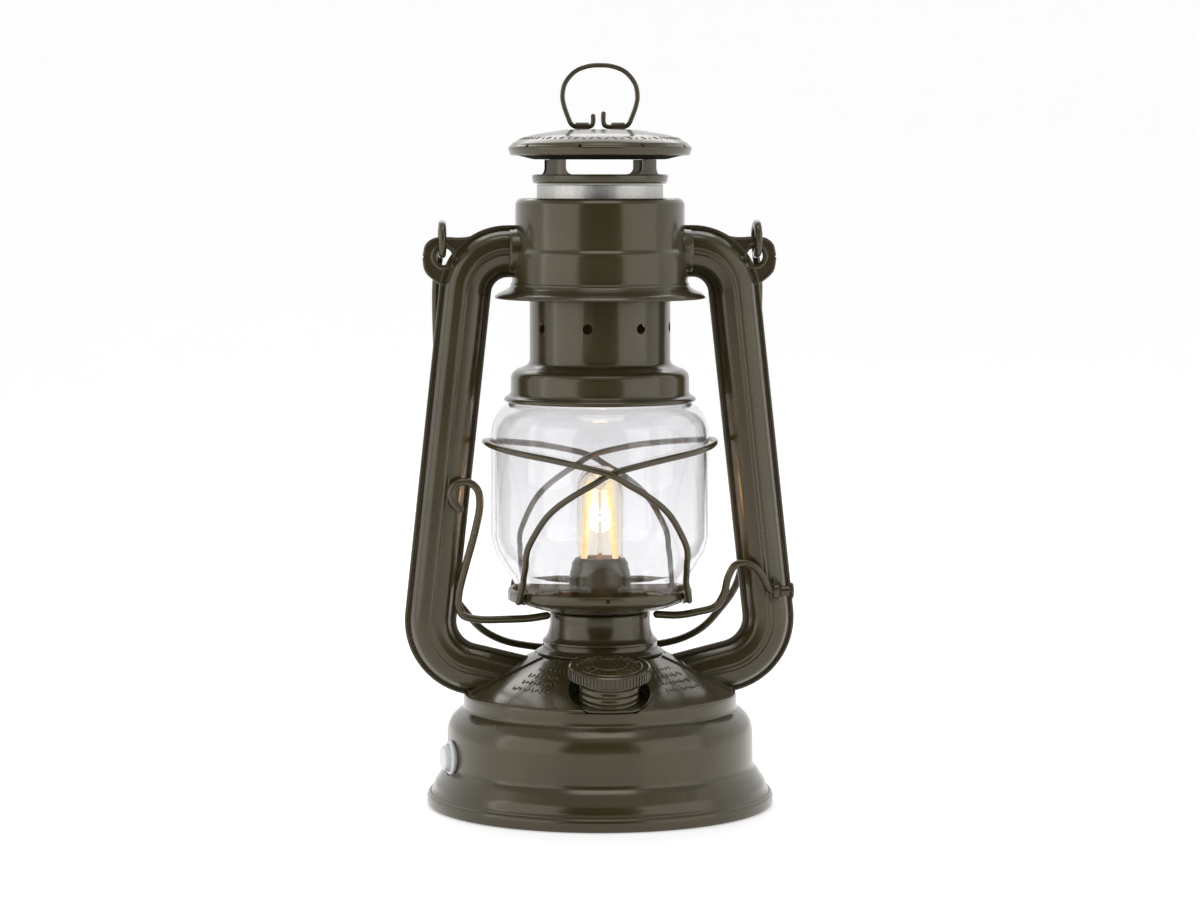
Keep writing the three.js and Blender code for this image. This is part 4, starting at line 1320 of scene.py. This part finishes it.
@dataclass
class LiftLever:
    """The lever that lifts the globe, and the strap that it turns in."""

    wire: float = 2.9
    x: float = 65.6
    y: float = -9.7
    z: float = 81.0

    def line(self) -> list[Vector]:
        """Gives the lever's centre line, from under the plate to its thumb end."""
        return smooth_line(
            [
                (21, -6, 72.1), (29.1, -6.2, 71.8), (36.6, -6.4, 73), (43.2, -6.8, 75), (46.4, -7.8, 80.2),
                (47.6, -8.9, 86), (50.2, self.y, 90.8), (54, self.y, 91.8), (57.8, self.y, 90),
                (61, self.y, 86), (62.4, self.y, 83), (63.9, self.y, self.z + 0.2),
                (self.x, self.y, self.z), (67, self.y, self.z),
            ],
            7,
        )

    def tab(self) -> bmesh.types.BMesh:
        """Models the thumb tab with its flattened end plate."""
        along = Matrix.Translation((0, self.y, self.z)) @ Matrix.Rotation(math.pi / 2, 4, "Y")
        outline = [(0, 67.2), (1.9, 67.4, 0.3), (2.0, 71.0, 0.3)]
        outline += [(3.1, 71.4, 0.25), (3.1, 72.3, 0.35), (0, 72.5)]
        return moved(plugged(outline, 32), along)

    def eyelet(self) -> bmesh.types.BMesh:
        """Models the strap bent over the lever, with its two feet on the tube."""
        up = 2.7
        near = [(4.7, 0.55), (up + 0.3, 0.55, 0.3), (up + 0.3, 2.2), (1.7, 4.3, 0.8)]
        shape = [(-point[0], *point[1:]) for point in near] + near[::-1]
        turn = Matrix(((0, 1, 0, 0), (0, 0, -1, 0), (1, 0, 0, 0), (0, 0, 0, 1)))
        return strap(shape, 1.9, 0.5, Matrix.Translation((64.9, -7.8, self.z)) @ turn)

    def build(self) -> None:
        """Builds and dresses the lever."""
        finish("lift_rod", wired(self.line(), self.wire), ENAMEL, Body.LEVER, ["lift_lever"])
        finish("thumb_tab", self.tab(), ENAMEL, Body.LEVER, ["lever_tab"])
        finish("rod_strap", self.eyelet(), ENAMEL, Body.FRAME, ["lever_eyelet"], 40)


@dataclass
class Hood:
    """The lifting chimney with its flue, crown and cap, and the ring that pulls it up."""

    skirt: float = 33.6
    barrel: float = 26.5
    flue: float = 23.7
    cap: float = 34.5

    def chimney(self) -> bmesh.types.BMesh:
        """Models the chimney: beaded skirt, shoulder, barrel and a ring of holes."""
        tube = pressed(
            [
                (35.6, 152.5, 0.2), (36.4, 153.2, 0.4), (35.7, 154.3, 0.5), (34.2, 155.0, 0.4),
                (self.skirt, 156.2, 0.5), (self.skirt, 161.9, 0.5), (33.0, 163.4, 0.5), (31.6, 164.6, 0.6),
                (28.2, 165.8, 1), (26.9, 166.9, 0.5), (self.barrel, 168.2, 0.5), (self.barrel, 201.3, 0.5),
                (25.6, 202.2, 0.4), (24.3, 202.4),
            ]
        )
        holes = []
        for i in range(8):
            side = Matrix.Rotation(math.radians(90), 4, "X")
            at = Matrix.Translation((0, 0, 180.6)) @ round_z(-60 + 45 * i) @ side
            holes.append(drill(1.9, 20, 30, at, 24))
        return drilled(tube, *holes)

    def crown(self) -> bmesh.types.BMesh:
        """Models the crown: a flange on the flue and four legs between round-cornered windows."""
        ring = turned(
            [
                (24.7, 234.2, 0.1), (25.3, 234.9, 0.3), (25.6, 237.2, 0.2), (25.2, 237.7, 0.15),
                (24.6, 237.1, 0.3), (self.flue, 237.4, 0.3), (self.flue, 243.2), (23.0, 243.2),
                (23.0, 234.2),
            ]
        )
        across = block((28.5, 70, 12), 2.5, Matrix.Translation((0, 0, 243.7)), 6)
        along = block((70, 25.5, 12), 2.5, Matrix.Translation((0, 0, 243.7)), 6)
        return drilled(drilled(ring, across), along)

    def cap_shell(self) -> bmesh.types.BMesh:
        """Models the cap: a rolled rim, a creased dome, pin holes and a ring of pressed ornament."""
        shell = pressed(
            [
                (33.3, 244.75, 0.1), (33.8, 245.1, 0.3), (self.cap, 247.4, 0.3),
                (self.cap - 0.3, 248.0, 0.25), (33.7, 248.4, 0.2), (32.9, 249.3, 0.4), (30.9, 250.5, 1),
                (26, 252.4, 2.5), (14, 254.3, 0.6), (12.6, 254.4, 0.4), (11.6, 253.9, 0.3), (0, 253.9),
            ]
        )
        lean = Matrix.Rotation(math.radians(42), 4, "Y")
        holes = [
            drill(0.8, -3, 3, round_z(-147.5 + 40 * i) @ Matrix.Translation((33.9, 0, 248.2)) @ lean, 14)
            for i in range(9)
        ]
        shell = drilled(shell, *holes)
        marks = []
        for i in range(64):
            tilt = Matrix.Rotation(math.radians(21), 4, "Y")
            place = round_z(i * 5.625) @ Matrix.Translation((29.2, 0, 250.97))
            at = place @ tilt @ round_z(28 if i % 2 else -28)
            marks.append(block((2.3, 0.75, 0.8), 0.25, at))
        return joined(shell, *marks)

    def underplate(self) -> bmesh.types.BMesh:
        """Models the dished plate under the cap."""
        return turned(
            [
                (22.4, 243.3), (25, 243.3, 0.6), (32.2, 245.1, 0.5), (32.6, 245.6, 0.1), (32.2, 245.8),
                (25, 243.9, 0.6), (22.4, 243.9),
            ]
        )

    def ring_line(self) -> list[Vector]:
        """Gives the ring's centre line, with its two ends turned up at the middle."""
        side = [(5.2, 255.5), (9.2, 255.5), (10.8, 256.5), (12.1, 259.2), (13.6, 263.5)]
        side += [(14.1, 266.8), (13.1, 271.6), (9.4, 276), (4.6, 278)]
        ends = [(-2.6, 259.5), (-2.6, 257.2), (-3.1, 256), (-4.1, 255.5)]
        tail = [(2.9, 255.5), (1.7, 256.1), (1.3, 257.4), (1.3, 260.4)]
        points = [*ends, *[(-x, z) for x, z in side], (0, 278.4), *reversed(side), *tail]
        return smooth_line([(x, 0, z) for x, z in points], 7)

    def ring_clip(self) -> bmesh.types.BMesh:
        """Models the right strap that the ring turns in."""
        near = [(3.8, 0.55), (1.9, 0.55, 0.25), (1.85, 1.5), (1.2, 2.9, 0.6)]
        shape = [(-point[0], *point[1:]) for point in near] + near[::-1]
        turn = Matrix(((0, 1, 0, 0), (1, 0, 0, 0), (0, 0, 1, 0), (0, 0, 0, 1)))
        return strap(shape, 4.9, 0.5, Matrix.Translation((4.3, 0, 254.2)) @ turn)

    def build(self) -> None:
        """Builds and dresses the hood and its ring."""
        finish("chimney_barrel", self.chimney(), ENAMEL, Body.HOOD, ["chimney_tube"], 40)
        band = turned([(23.1, 199), (self.flue, 199), (self.flue, 233.7, 0.2), (23.5, 233.9), (23.1, 233.9)])
        finish("flue_band", band, ZINC, Body.HOOD, ["inner_flue"])
        finish("crown_ring", self.crown(), ENAMEL, Body.HOOD, ["crown"], 40)
        # The plate under the cap gets the enamel with painted shade, so the gap under the rim reads dark.
        finish("cap_dish", self.underplate(), PAINTED_SHADE_UNDERSIDE, Body.HOOD, ["cap_underplate"])
        finish("cap_dome", self.cap_shell(), ENAMEL, Body.HOOD, ["hood_cap"], 40)
        right = self.ring_clip()
        left = mirrored(right)
        finish("ring_strap_right", right, ENAMEL, Body.HOOD, ["ring_clip_right"], 40)
        finish("ring_strap_left", left, ENAMEL, Body.HOOD, ["ring_clip_left"], 40)
        finish("pull_ring", wired(self.ring_line(), 1.8), ENAMEL, Body.RING, ["hood_ring"])


@dataclass
class Bail:
    """The carrying wire, hooked through both ears and hanging behind the lantern."""

    wire: float = 2.9
    hook_x: float = 59.3
    hook_z: float = 213.4
    hook_radius: float = 5.85
    lean: float = 9.84

    def half(self, side: float) -> list[tuple[float, float, float]]:
        """Gives half of the centre line, from a hook's tip to near the bow's middle."""
        hook = []
        for angle in (-72, -90, -120, -150, -180, -210, -240, -270, -300, -330, -360):
            turn = math.radians(angle)
            y = self.hook_radius * math.cos(turn)
            hook.append((side * self.hook_x, y, self.hook_z + self.hook_radius * math.sin(turn)))
        arm = [
            (60.1, 206), (61.2, 198), (61.4, 188), (59.9, 150), (58.6, 115), (57.2, 85), (54.8, 77.2),
            (49.1, 68.9), (43, 62.2), (34.8, 57.7), (23.1, 55.2), (11, 54.4),
        ]
        return [*hook, *[(side * x, self.behind(z), z) for x, z in arm]]

    def behind(self, height: float) -> float:
        """Gives how far back the hanging wire is at a height."""
        return self.hook_radius + (self.hook_z - height) * math.tan(math.radians(self.lean))

    def build(self) -> None:
        """Builds and dresses the bail."""
        points = [*self.half(-1), (0, self.behind(54.2), 54.2), *reversed(self.half(1))]
        finish("bail_rod", wired(smooth_line(points, 6), self.wire), ENAMEL, Body.BAIL, ["bail_wire"])


@dataclass
class Studio:
    """The pale floor, the soft lights and the camera."""

    distance: float = 1.324
    height: float = 0.239
    azimuth: float = -5.0
    target: float = 0.134
    lens: float = 105.6

    def floor(self) -> None:
        """Lays a pale floor that curves up all round into a far wall."""
        work = spun(draw([(0.0, 0.0), (3.2, 0.0, 1.2), (4.0, 1.5, 0.6), (4.3, 4.2)], segments=10), 96)
        face_out(work, lambda at: Z_AXIS - at.normalized())
        for face in work.faces:
            face.smooth = True
        mesh = bpy.data.meshes.new("studio_floor")
        work.to_mesh(mesh)
        work.free()
        graph = Graph("studio_white")
        cloud = graph.noise(2, 1)
        sockets = {
            "Base Color": graph.blend(cloud, (0.79, 0.79, 0.79), (0.82, 0.82, 0.82)),
            "Roughness": 0.75,
            "Emission Color": (1, 1, 1, 1),
            "Emission Strength": 0.4,
        }
        mesh.materials.append(graph.shine(graph.node("ShaderNodeBsdfPrincipled", {}, sockets)))
        floor = bpy.data.objects.new("studio_floor", mesh)
        floor.location.z = -0.0002
        bpy.context.scene.collection.objects.link(floor)

    def flag(self) -> None:
        """Hangs a dark cloth behind the camera, which only the lantern's shine sees."""
        work = spun(draw([(2.4, 0.0), (2.4, 2.2)]), 96)
        trimmed(work, ((0, -0.4, 0), (0, 1, 0)))
        mesh = bpy.data.meshes.new("dark_cloth")
        work.to_mesh(mesh)
        work.free()
        graph = Graph("dark_cloth")
        weave = graph.noise(300, 2)
        sockets = {"Base Color": graph.blend(weave, (0.02, 0.02, 0.02), (0.03, 0.03, 0.03)), "Roughness": 0.9}
        mesh.materials.append(graph.shine(graph.node("ShaderNodeBsdfPrincipled", {}, sockets)))
        cloth = bpy.data.objects.new("dark_cloth", mesh)
        for sight in ("camera", "transmission", "volume_scatter", "shadow"):
            setattr(cloth, f"visible_{sight}", False)
        bpy.context.scene.collection.objects.link(cloth)

    def softbox(self, name: str, place: Sequence[float], size: Sequence[float], watts: float) -> None:
        """Hangs a soft light that faces the lantern.

        Args:
            name: The light's name.
            place: Where it hangs, in metres.
            size: Its width and height in metres.
            watts: Its power.
        """
        data = bpy.data.lights.new(name, "AREA")
        data.shape = "RECTANGLE"
        data.size, data.size_y = size
        data.energy = watts
        lamp = bpy.data.objects.new(name, data)
        lamp.location = place
        away = Vector(place) - Vector((0, 0, 0.13))
        lamp.rotation_euler = away.to_track_quat("Z", "Y").to_euler()
        bpy.context.scene.collection.objects.link(lamp)

    def camera(self) -> None:
        """Stands the camera where the lantern is seen from."""
        data = bpy.data.cameras.new("camera")
        data.lens = self.lens
        data.sensor_width = 36
        camera = bpy.data.objects.new("camera", data)
        turn = math.radians(self.azimuth)
        camera.location = (self.distance * math.sin(turn), -self.distance * math.cos(turn), self.height)
        sight = Vector((0, 0, self.target)) - camera.location
        camera.rotation_euler = sight.to_track_quat("-Z", "Y").to_euler()
        bpy.context.scene.collection.objects.link(camera)
        bpy.context.scene.camera = camera

    def build(self) -> None:
        """Sets up the floor, the lights and the camera."""
        self.floor()
        self.flag()
        self.camera()
        self.softbox("left_softbox", (-1.08, -0.62, 0.42), (1.3, 1.2), 7.6)
        self.softbox("right_softbox", (0.98, -0.78, 0.42), (1.3, 1.2), 7.0)
        self.softbox("top_softbox", (0.0, -0.3, 1.3), (0.7, 0.5), 2.4)
        self.softbox("rear_softbox", (0.0, 0.85, 1.05), (1.1, 0.8), 5.5)
        glow = bpy.data.lights.new("lamp_glow", "POINT")
        glow.energy = 0.07
        glow.color = (1.0, 0.62, 0.28)
        glow.shadow_soft_size = 0.006
        lamp = bpy.data.objects.new("lamp_glow", glow)
        lamp.location = (0, 0, 0.108)
        bpy.context.scene.collection.objects.link(lamp)
        world = bpy.data.worlds.new("studio_air")
        world.use_nodes = True
        world.node_tree.nodes["Background"].inputs["Color"].default_value = (1, 1, 1, 1)
        world.node_tree.nodes["Background"].inputs["Strength"].default_value = 0.5
        bpy.context.scene.world = world
        bpy.context.scene.view_settings.view_transform = "Standard"


def main() -> None:
    """Builds the lantern piece by piece, then the studio."""
    logging.basicConfig(level=logging.INFO, format="%(message)s")
    filler = Filler()
    power = PowerPack()
    BaseAndFount().build([filler.mouth(), *power.mouths()])
    filler.build()
    Lamp().build()
    power.build()
    SideTubes().build()
    Canopy().build()
    GlobeCarrier().build()
    LiftLever().build()
    Hood().build()
    Bail().build()
    Studio().build()


if __name__ == "__main__":
    main()
